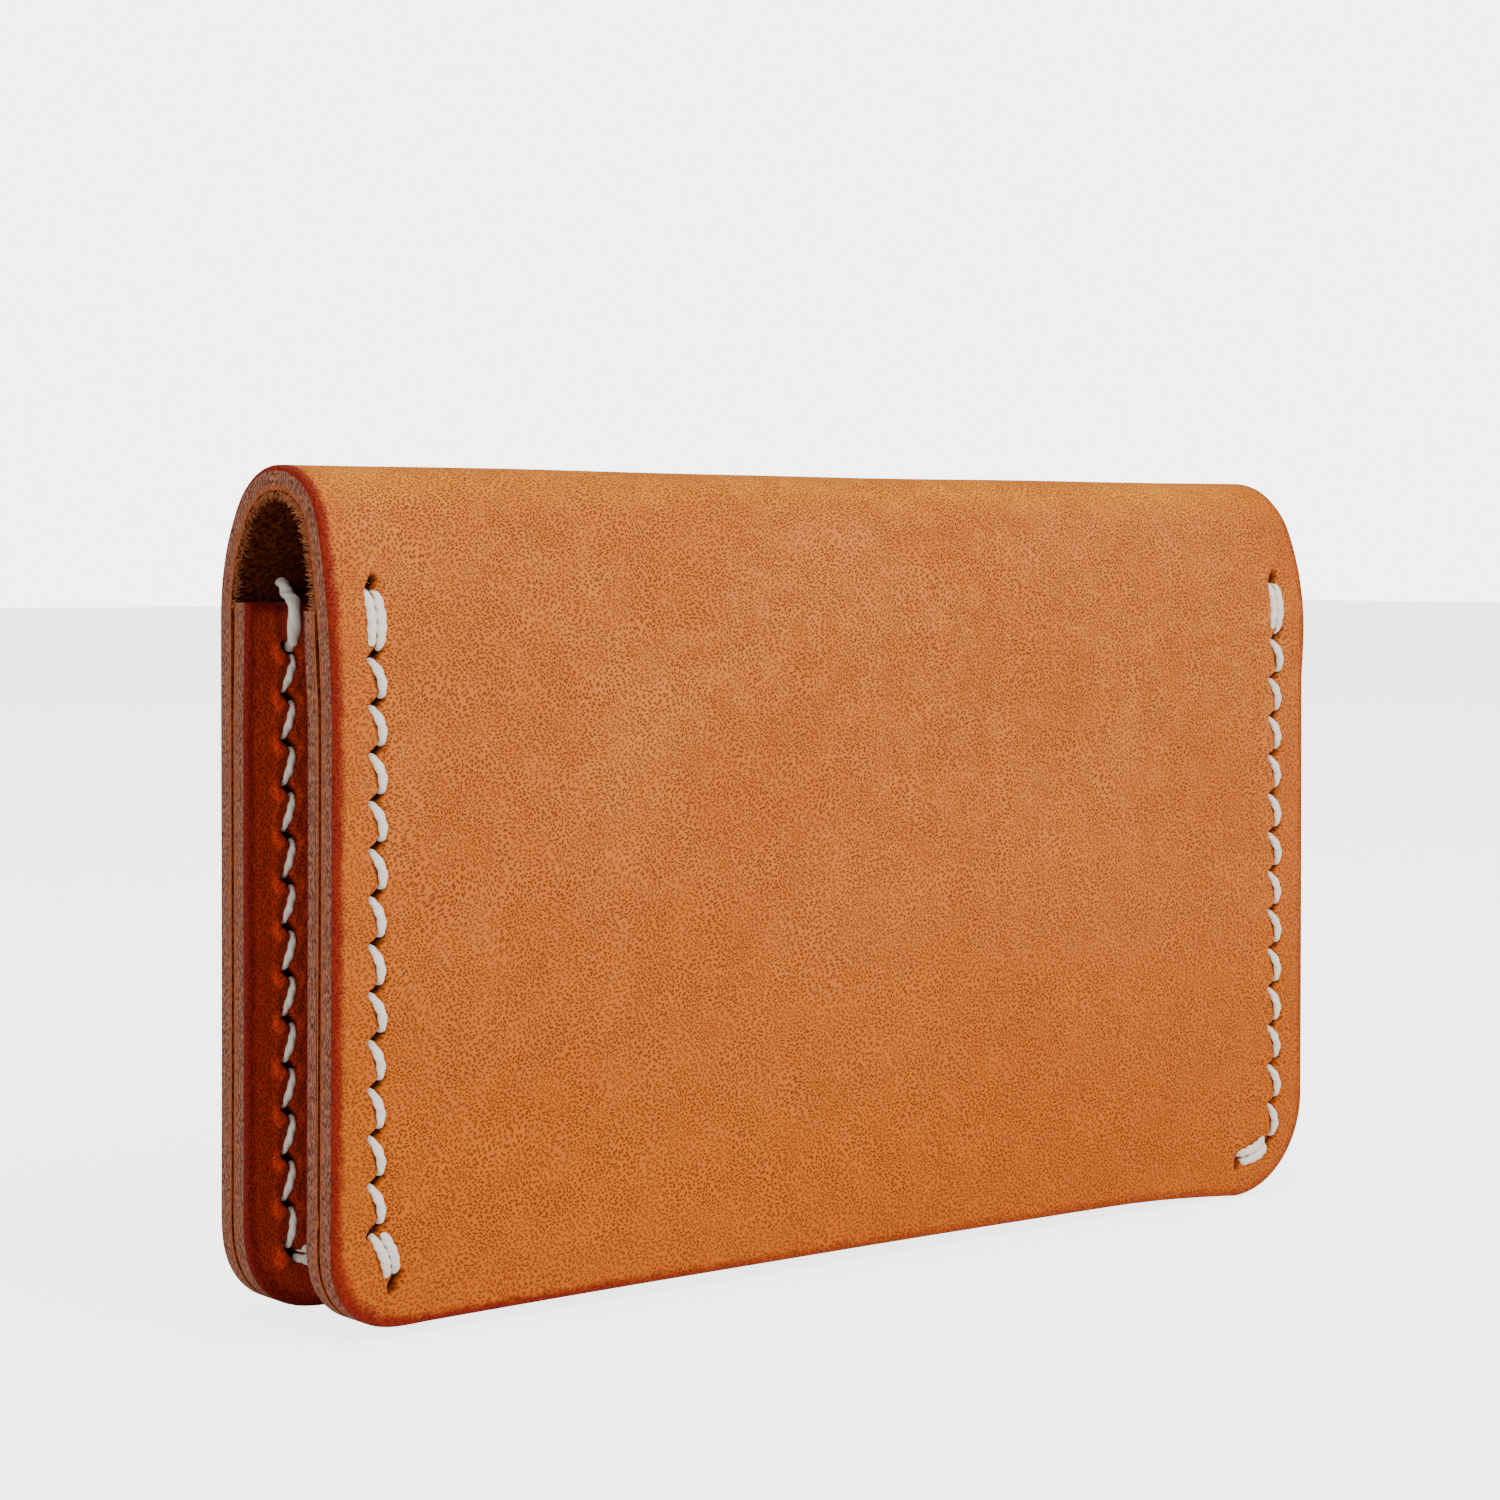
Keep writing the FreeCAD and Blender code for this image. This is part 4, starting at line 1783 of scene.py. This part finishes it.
class Layer:
    """The Geometry Nodes tree that lays shapes on marks, such as stitches on a seam."""

    def __init__(self) -> None:
        """Builds the tree: it picks a shape for each mark, turns and stretches it, and joins them all."""
        tree = bpy.data.node_groups.new("lay_shapes", "GeometryNodeTree")
        sockets = {
            "Marks": "NodeSocketGeometry",
            "Shapes": "NodeSocketCollection",
            "Wobble": "NodeSocketFloat",
            "Seed": "NodeSocketInt",
            "Finish": "NodeSocketMaterial",
        }
        self.identifiers = {
            label: tree.interface.new_socket(label, in_out="INPUT", socket_type=kind).identifier
            for label, kind in sockets.items()
        }
        tree.interface.new_socket("Laid", in_out="OUTPUT", socket_type="NodeSocketGeometry")
        nodes = Nodes(tree)
        given = nodes.add("NodeGroupInput").outputs
        shapes = nodes.add("GeometryNodeCollectionInfo", {
            "Collection": given["Shapes"], "Separate Children": True, "Reset Children": True,
        })
        kind, turn, stretch = (
            nodes.add("GeometryNodeInputNamedAttribute", {"Name": name}, data_type=data).outputs[0]
            for name, data in (("kind", "INT"), ("turn", "FLOAT_VECTOR"), ("stretch", "FLOAT_VECTOR"))
        )
        wobble = nodes.add("FunctionNodeRandomValue", {
            "Min": (-1.0, -1.0, -1.0), "Max": (1.0, 1.0, 1.0), "Seed": given["Seed"],
        }, data_type="FLOAT_VECTOR")
        swing = nodes.vector("SCALE", {0: wobble.outputs[0], 3: given["Wobble"]})
        rotation = nodes.add("FunctionNodeEulerToRotation", {0: nodes.vector("ADD", {0: turn, 1: swing})})
        laid = nodes.add("GeometryNodeInstanceOnPoints", {
            "Points": given["Marks"],
            "Instance": shapes.outputs[0],
            "Pick Instance": True,
            "Instance Index": kind,
            "Rotation": rotation.outputs[0],
            "Scale": stretch,
        })
        real = nodes.add("GeometryNodeRealizeInstances", {0: laid.outputs[0]})
        dressed = nodes.add("GeometryNodeSetMaterial", {
            "Geometry": real.outputs[0], "Material": given["Finish"],
        })
        nodes.add("NodeGroupOutput", {"Laid": dressed.outputs[0]})
        self.tree = tree

    def lay(self, name: str, marks: list[Mark], values: dict[str, object]) -> bpy.types.Object:
        """Makes an object with a shape at each mark, as a plain mesh.

        Args:
            name: The object's name.
            marks: Where the shapes go.
            values: What goes to each other input of the tree.

        Returns:
            The object.
        """
        points = bpy.data.meshes.new(name)
        points.from_pydata([tuple(mark.place * MM) for mark in marks], [], [])
        add_places(points, "turn", np.array([mark.turn for mark in marks]))
        add_places(points, "stretch", np.array([mark.stretch for mark in marks]))
        kind = points.attributes.new("kind", "INT", "POINT")
        kind.data.foreach_set("value", np.array([mark.shape for mark in marks], np.int32))
        target = new_object(name, points)
        modifier = target.modifiers.new("shapes", "NODES")
        modifier.node_group = self.tree
        for label, value in values.items():
            modifier[self.identifiers[label]] = value
        target.update_tag()
        bpy.context.view_layer.update()
        graph = bpy.context.evaluated_depsgraph_get()
        mesh = bpy.data.meshes.new_from_object(target.evaluated_get(graph))
        target.modifiers.clear()
        target.data = mesh
        mesh.name = name
        LOG.info("%s: %d shapes", name, len(marks))
        return target


class FibreShapes(Shapes):
    """A few loose fibres, as they stand up where leather is cut: each is bent its own way."""

    bends = (0.10, 0.22, -0.18, 0.34)

    def __init__(self) -> None:
        """Makes the fibres."""
        super().__init__("fibre")
        share = np.linspace(0.0, 1.0, 5)
        facing = np.array([0.0, -1.0, 0.0])
        for number, bend in enumerate(self.bends):
            line = np.column_stack([bend * share**2, 0.6 * bend * share**3, share])
            self.add(number, [Strand(line, facing, wide=0.040, thick=0.034, twist=0.0, around=4)])


@dataclass(frozen=True)
class Fray:
    """The loose fibres along the flesh side's rim of the cover.

    Args:
        cover: The cover's sheet.
        spacing: The mean distance between two fibres.
        longest: The length of the longest.
        shortest: The length of the shortest, as a share of the longest.
        inset: How far in from the cut edge they may stand.
        sunk: How far below the flesh side they may begin, least and most.
        into: How strongly they point into the wallet, least and most.
        outwards: How strongly they point out past the cut edge, least and most.
        astray: How far they stray every other way.
        wobble: How far each is turned at random once it is laid, in radians.
    """

    cover: CoverSheet
    spacing: float = 0.034
    longest: float = 0.9
    shortest: float = 0.35
    inset: float = 0.45
    sunk: Pair = (0.02, 0.28)
    into: Pair = (0.5, 1.2)
    outwards: Pair = (-0.1, 0.75)
    astray: float = 0.35
    wobble: float = 0.1

    def marks(self, low: float, high: float, seed: int) -> list[Mark]:
        """Scatters fibres along both ends of a length of the cover.

        Args:
            low: Where the length begins, up the sheet.
            high: Where it ends.
            seed: The number that the scatter comes from.

        Returns:
            Where the fibres go.
        """
        chance = np.random.default_rng(seed)
        cover, found = self.cover, []
        for end in End:
            count = int((high - low) / self.spacing)
            along = np.sort(chance.uniform(low, high, count))
            inset = chance.uniform(0.0, self.inset, count)
            depth = cover.thickness - chance.uniform(*self.sunk, count)
            x = end.value * (cover.sizes.half_width - inset)
            feet = cover.place(x, along, depth)
            inwards = cover.place(x, along, depth + 0.5) - feet
            for foot, inward in zip(feet, inwards):
                way = Vector(inward).normalized() * chance.uniform(*self.into)
                out = end.value * chance.uniform(*self.outwards)
                way += Vector((out, *chance.normal(0.0, self.astray, 2)))
                turn = way.to_track_quat("Z", "Y").to_euler()
                size = self.longest * float(chance.uniform(self.shortest, 1.0))
                shape = int(chance.integers(len(FibreShapes.bends)))
                found.append(Mark(foot, np.array(turn), shape, (size, size, size)))
        return found


@dataclass
class Cover:
    """The folded cover: two flat halves, and four bends between them.

    Args:
        sheet: The cover's sheet.
        palette: The wallet's materials.
        layer: The tree that lays the loose fibres.
        flat_top: Where each flat half ends and the bends begin, up its half. It is above the top slits.
        bend_share: How far the grain turns between two fold lines.
        fold_step: The step between rows over the fold.
        unlined: How far below the pocket's mouth the loose fibres begin.
    """

    sheet: CoverSheet
    palette: Palette
    layer: Layer
    flat_top: float = 61.7
    bend_share: float = math.pi / 4
    fold_step: float = 0.32
    unlined: float = 0.5

    def _parting(self) -> list[float]:
        """Where the cover is parted: at the top of each flat, and between the fold lines."""
        lines = [self.sheet.path.at_turn(share * self.bend_share) for share in (1, 2, 3)]
        return [0.0, self.flat_top, *lines, self.sheet.length - self.flat_top, self.sheet.length]

    def _rows(self, parting: list[float], seam_step: float) -> np.ndarray:
        """Every place up the sheet that has a row of vertices.

        Args:
            parting: Where the cover is parted.
            seam_step: The step between rows where the seams are.

        Returns:
            The places, from the back half's corners to the front half's.
        """
        corner = self.sheet.sizes.corner
        rows = [spread(corner, parting[1], seam_step)]
        rows += [spread(low, high, self.fold_step)[1:] for low, high in zip(parting[1:5], parting[2:6])]
        rows.append(spread(parting[5], self.sheet.length - corner, seam_step)[1:])
        return np.concatenate(rows)

    def _inner_point(self, s: float) -> Vector:
        """A point on the flesh side in the middle of the wallet, in metres."""
        y, z = self.sheet.path.place(np.array([s]), np.array([self.sheet.thickness]))
        return Vector((0.0, float(y[0]), float(z[0]))) * MM

    def build(self) -> None:
        """Makes the halves and the bends, and attaches the halves and their loose fibres to their bodies."""
        parting, fineness = self._parting(), Fineness()
        shell = SheetMesher(self.sheet, self._rows(parting, fineness.seam), fineness).build()
        leather = LeatherPiece(self.sheet, shell)
        finishes = [self.palette.cover_grain, self.palette.cut_edge, self.palette.flesh_side]
        bend_names = [f"fold_bend_{number}" for number in range(1, 5)]
        names = ["cover_back_leather", *bend_names, "cover_front_leather"]
        spans = list(zip(parting, parting[1:]))
        parts = [leather.part(name, low, high, finishes) for name, (low, high) in zip(names, spans)]
        hairs = self._fray(spans)
        nodes = ["cover_back", "cover_fold_1", "cover_fold_2", "cover_fold_3", "cover_front"]
        for part, node in zip(parts[:4] + parts[5:], nodes):
            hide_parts(node)
        bodies = ["back_half", "fold_strip_1", "fold_strip_2", "fold_strip_3", "front_half"]
        # An outer bend's span begins where its flat half ends, and is centred on its fold line.
        reach = 2 * (self.sheet.path.at_turn(self.bend_share / 2) - parting[1])
        bends = [(parting[1], parting[1] + reach), *spans[2:4], (parting[5] - reach, parting[5])]
        for pieces in (parts, hairs):
            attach(pieces[0], "back_half")
            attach(pieces[5], "front_half")
            for bend, before, after, (start, end) in zip(pieces[1:5], bodies, bodies[1:], bends):
                self._inner_point(start)
                self._inner_point(end)
                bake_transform(bend)

    def _fray(self, spans: list[Pair]) -> list[bpy.types.Object]:
        """Makes the loose fibres along the fold's cut edges.

        Args:
            spans: Where each part of the cover begins and ends.

        Returns:
            The fibres of each part.
        """
        shapes, fray = FibreShapes(), Fray(self.sheet)
        bare = self.sheet.sizes.mouth - self.unlined
        spans = [(bare, spans[0][1]), *spans[1:5], (spans[5][0], self.sheet.length - bare)]
        hairs = [
            self.layer.lay(f"loose_fibres_{number}", fray.marks(low, high, number), {
                "Shapes": shapes.collection,
                "Wobble": fray.wobble,
                "Seed": number,
                "Finish": self.palette.fibre,
            })
            for number, (low, high) in enumerate(spans, 1)
        ]
        shapes.remove()
        return hairs


@dataclass
class Pocket:
    """A pocket panel.

    Args:
        sheet: The panel's sheet.
        palette: The wallet's materials.
        mouth_room: How far below the back pocket's mouth the plain rows end.
        spare: How far beyond its ends the panel is cut, so that none of it is left out.
    """

    sheet: PocketSheet
    palette: Palette
    mouth_room: float = 1.4
    spare: float = 1.0

    def build(self) -> None:
        """Makes the panel, which moves with its half."""
        label, sizes, fineness = self.sheet.half.name.lower(), self.sheet.sizes, Fineness()
        rows = spread(sizes.corner, sizes.mouth - self.mouth_room, fineness.seam)
        leather = LeatherPiece(self.sheet, SheetMesher(self.sheet, rows, fineness).build())
        finishes = [self.palette.pocket_grain, self.palette.cut_edge, self.palette.flesh_side]
        panel = leather.part(f"pocket_{label}_leather", -self.spare, sizes.mouth + self.spare, finishes)
        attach(panel, f"{label}_half")
        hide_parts(f"pocket_{label}")


@dataclass
class SeamThread:
    """The thread of one seam.

    Args:
        seam: Where it runs.
        cover: The cover's sheet.
        pocket: The sheet of the pocket panel in the same half.
        palette: The wallet's materials.
        bedded: How far below the grain the stitches' ends are.
        wobble: How far each stitch is turned at random, in radians.
    """

    seam: Seam
    cover: CoverSheet
    pocket: PocketSheet
    palette: Palette
    bedded: float = 0.20
    wobble: float = 0.035

    @staticmethod
    def _turn(high: np.ndarray, low: np.ndarray, outward: np.ndarray) -> np.ndarray:
        """How a stitch is turned, so that it runs from one point to another with its back on the leather.

        Args:
            high: The stitch's upper end.
            low: Its lower end.
            outward: The direction that the leather faces.

        Returns:
            The turn, as Euler angles.
        """
        up = high - low
        up /= np.linalg.norm(up)
        inward = -(outward - up * float(outward @ up))
        inward /= np.linalg.norm(inward)
        right = np.cross(inward, up)
        return np.array(Matrix(np.column_stack([right, inward, up]).tolist()).to_euler("XYZ"))

    def _on_cover(self, spot: Pair, depth: float) -> np.ndarray:
        """A point of the seam on the cover, by its height on its own half."""
        s = spot[1] if self.seam.half is Half.BACK else self.cover.length - spot[1]
        return self.cover.place(np.array([spot[0]]), np.array([s]), np.array([depth]))[0]

    def _on_pocket(self, spot: Pair, depth: float) -> np.ndarray:
        """A point of the seam on the pocket's face."""
        return self.pocket.place(np.array([spot[0]]), np.array([spot[1]]), np.array([depth]))[0]

    def _marks(self) -> list[Mark]:
        """Finds where every stitch of the seam goes.

        Returns:
            The stitches of both sides, and last the one over the mouth.
        """
        side = self.seam.half.value
        found = []
        for index, (upper, lower, kind) in enumerate(self.seam.stitches()):
            length = StitchShapes.double_length if kind is Stitch.DOUBLE else StitchShapes.single_length
            # Inside, the thread goes over the pocket's mouth in place of the first stitch.
            for inner in (False,) if index == 0 else (False, True):
                place = self._on_pocket if inner else self._on_cover
                high, low = place(upper, self.bedded), place(lower, self.bedded)
                outward = np.array([0.0, -side if inner else side, 0.0], float)
                shape = Stitch.REVERSE if inner and kind is Stitch.SINGLE else kind
                stretch = (1.0, 1.0, float(np.linalg.norm(high - low)) / length)
                found.append(Mark(high, self._turn(high, low, outward), int(shape), stretch))
        top = self.seam.holes()[0]
        turn = np.array([0.0, 0.0, 0.0 if self.seam.half is Half.BACK else math.pi])
        found.append(Mark(np.array([top[0], 0.0, top[1]]), turn, int(Stitch.WRAP), (1.0, 1.0, 1.0)))
        return found

    def build(self, layer: Layer, shapes: StitchShapes, seed: int) -> None:
        """Lays the stitches, which move with their half.

        Args:
            layer: The tree that lays them.
            shapes: One of each shape.
            seed: The number that the small unevenness comes from.
        """
        thread = layer.lay(f"thread_{self.seam.name}", self._marks(), {
            "Shapes": shapes.collection,
            "Wobble": self.wobble,
            "Seed": seed,
            "Finish": self.palette.thread,
        })
        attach(thread, f"{self.seam.half.name.lower()}_half")
        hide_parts(f"stitching_{self.seam.name}")


@dataclass(frozen=True)
class Lamp:
    """A large soft lamp that faces the wallet.

    Args:
        name: The lamp's name.
        place: Where it stands, in metres.
        size: The side of its square, in metres.
        power: Its power in watts.
        target: The point that it faces.
    """

    name: str
    place: Point
    size: float
    power: float
    target: Point = (0.0, 0.0, 0.035)

    def build(self) -> None:
        """Puts the lamp in its place."""
        light = bpy.data.lights.new(self.name, "AREA")
        light.size = self.size
        light.energy = self.power
        lamp = bpy.data.objects.new(self.name, light)
        lamp.location = self.place
        aim = Vector(self.target) - Vector(self.place)
        lamp.rotation_euler = aim.to_track_quat("-Z", "Y").to_euler()
        bpy.context.scene.collection.objects.link(lamp)


@dataclass(frozen=True)
class Studio:
    """The floor, the lights and the camera.

    Args:
        eye: Where the camera is, in metres.
        heading: How far it is turned from straight on, in degrees.
        lens: Its focal length in millimetres.
        rise: How far its picture is shifted upwards, as a share of its width.
        floor_size: The side of the floor, in metres.
        floor_below: How far the floor is below the standing edges, in metres.
        floor_glow: How brightly the floor glows to the camera.
        room_glow: How brightly the surroundings glow to the camera, beyond the ambient light.
        ambient: How brightly the surroundings light the wallet.
        lamps: The lamps.
    """

    eye: Point = (-0.1937, -0.2385, 0.0625)
    heading: float = -38.03
    lens: float = 80.04
    rise: float = -0.1248
    floor_size: float = 8.0
    floor_below: float = 0.0002
    floor_glow: float = 3.2
    room_glow: float = 5.0
    ambient: float = 0.28
    lamps: tuple[Lamp, ...] = (
        Lamp("key_light", (0.25, -0.85, 0.65), size=0.8, power=11.5),
        Lamp("fill_light", (-0.85, -0.25, 0.40), size=0.7, power=2.7),
        Lamp("top_light", (0.0, 0.10, 1.0), size=0.9, power=6.0),
    )

    def build(self) -> None:
        """Sets the stage."""
        self._floor()
        self._world()
        for lamp in self.lamps:
            lamp.build()
        self._camera()

    def _floor(self) -> None:
        """A plain pale floor under the wallet."""
        bpy.ops.mesh.primitive_plane_add(size=self.floor_size, location=(0.0, 0.0, -self.floor_below))
        floor = bpy.context.active_object
        floor.name = "floor"
        paint = bpy.data.materials.new("pale_floor")
        paint.use_nodes = True
        nodes = Nodes(paint.node_tree)
        seen = nodes.add("ShaderNodeLightPath").outputs["Is Camera Ray"]
        surface = paint.node_tree.nodes["Principled BSDF"]
        surface.inputs["Base Color"].default_value = (0.9, 0.9, 0.9, 1.0)
        surface.inputs["Roughness"].default_value = 0.9
        surface.inputs["Emission Color"].default_value = (1.0, 1.0, 1.0, 1.0)
        nodes.feed(surface.inputs["Emission Strength"], nodes.share(seen, self.floor_glow))
        floor.data.materials.append(paint)

    def _world(self) -> None:
        """Even white surroundings."""
        world = bpy.data.worlds.new("white_room")
        world.use_nodes = True
        nodes = Nodes(world.node_tree)
        seen = nodes.add("ShaderNodeLightPath").outputs["Is Camera Ray"]
        backdrop = world.node_tree.nodes["Background"]
        backdrop.inputs["Color"].default_value = (1.0, 1.0, 1.0, 1.0)
        strength = nodes.math("MULTIPLY_ADD", seen, self.room_glow, self.ambient)
        nodes.feed(backdrop.inputs["Strength"], strength)
        bpy.context.scene.world = world

    def _camera(self) -> None:
        """A level camera, to the left of straight on."""
        lens = bpy.data.cameras.new("camera")
        lens.lens = self.lens
        lens.sensor_width = 36.0
        lens.shift_y = self.rise
        lens.clip_start = 0.01
        camera = bpy.data.objects.new("camera", lens)
        camera.location = self.eye
        camera.rotation_euler = (math.pi / 2, 0.0, math.radians(self.heading))
        bpy.context.scene.collection.objects.link(camera)
        bpy.context.scene.camera = camera


def main() -> None:
    """Builds the wallet piece by piece, then the studio."""
    logging.basicConfig(level=logging.INFO, format="%(name)s %(message)s")
    sizes = Sizes.from_frame()
    path = FoldPath(sizes)
    seams = [Seam(sizes, half, end) for half in Half for end in End]
    palette, layer = Palette(), Layer()
    cover_sheet = CoverSheet(sizes, path, seams)
    Cover(cover_sheet, palette, layer).build()
    shapes = StitchShapes(sizes, seams[0])
    for half in Half:
        own = [seam for seam in seams if seam.half is half]
        pocket_sheet = PocketSheet(sizes, half, path, own)
        Pocket(pocket_sheet, palette).build()
        for seed, seam in enumerate(own, FIRST_SEED):
            SeamThread(seam, cover_sheet, pocket_sheet, palette).build(layer, shapes, seed)
    shapes.remove()
    Studio().build()


if __name__ == "__main__":
    main()
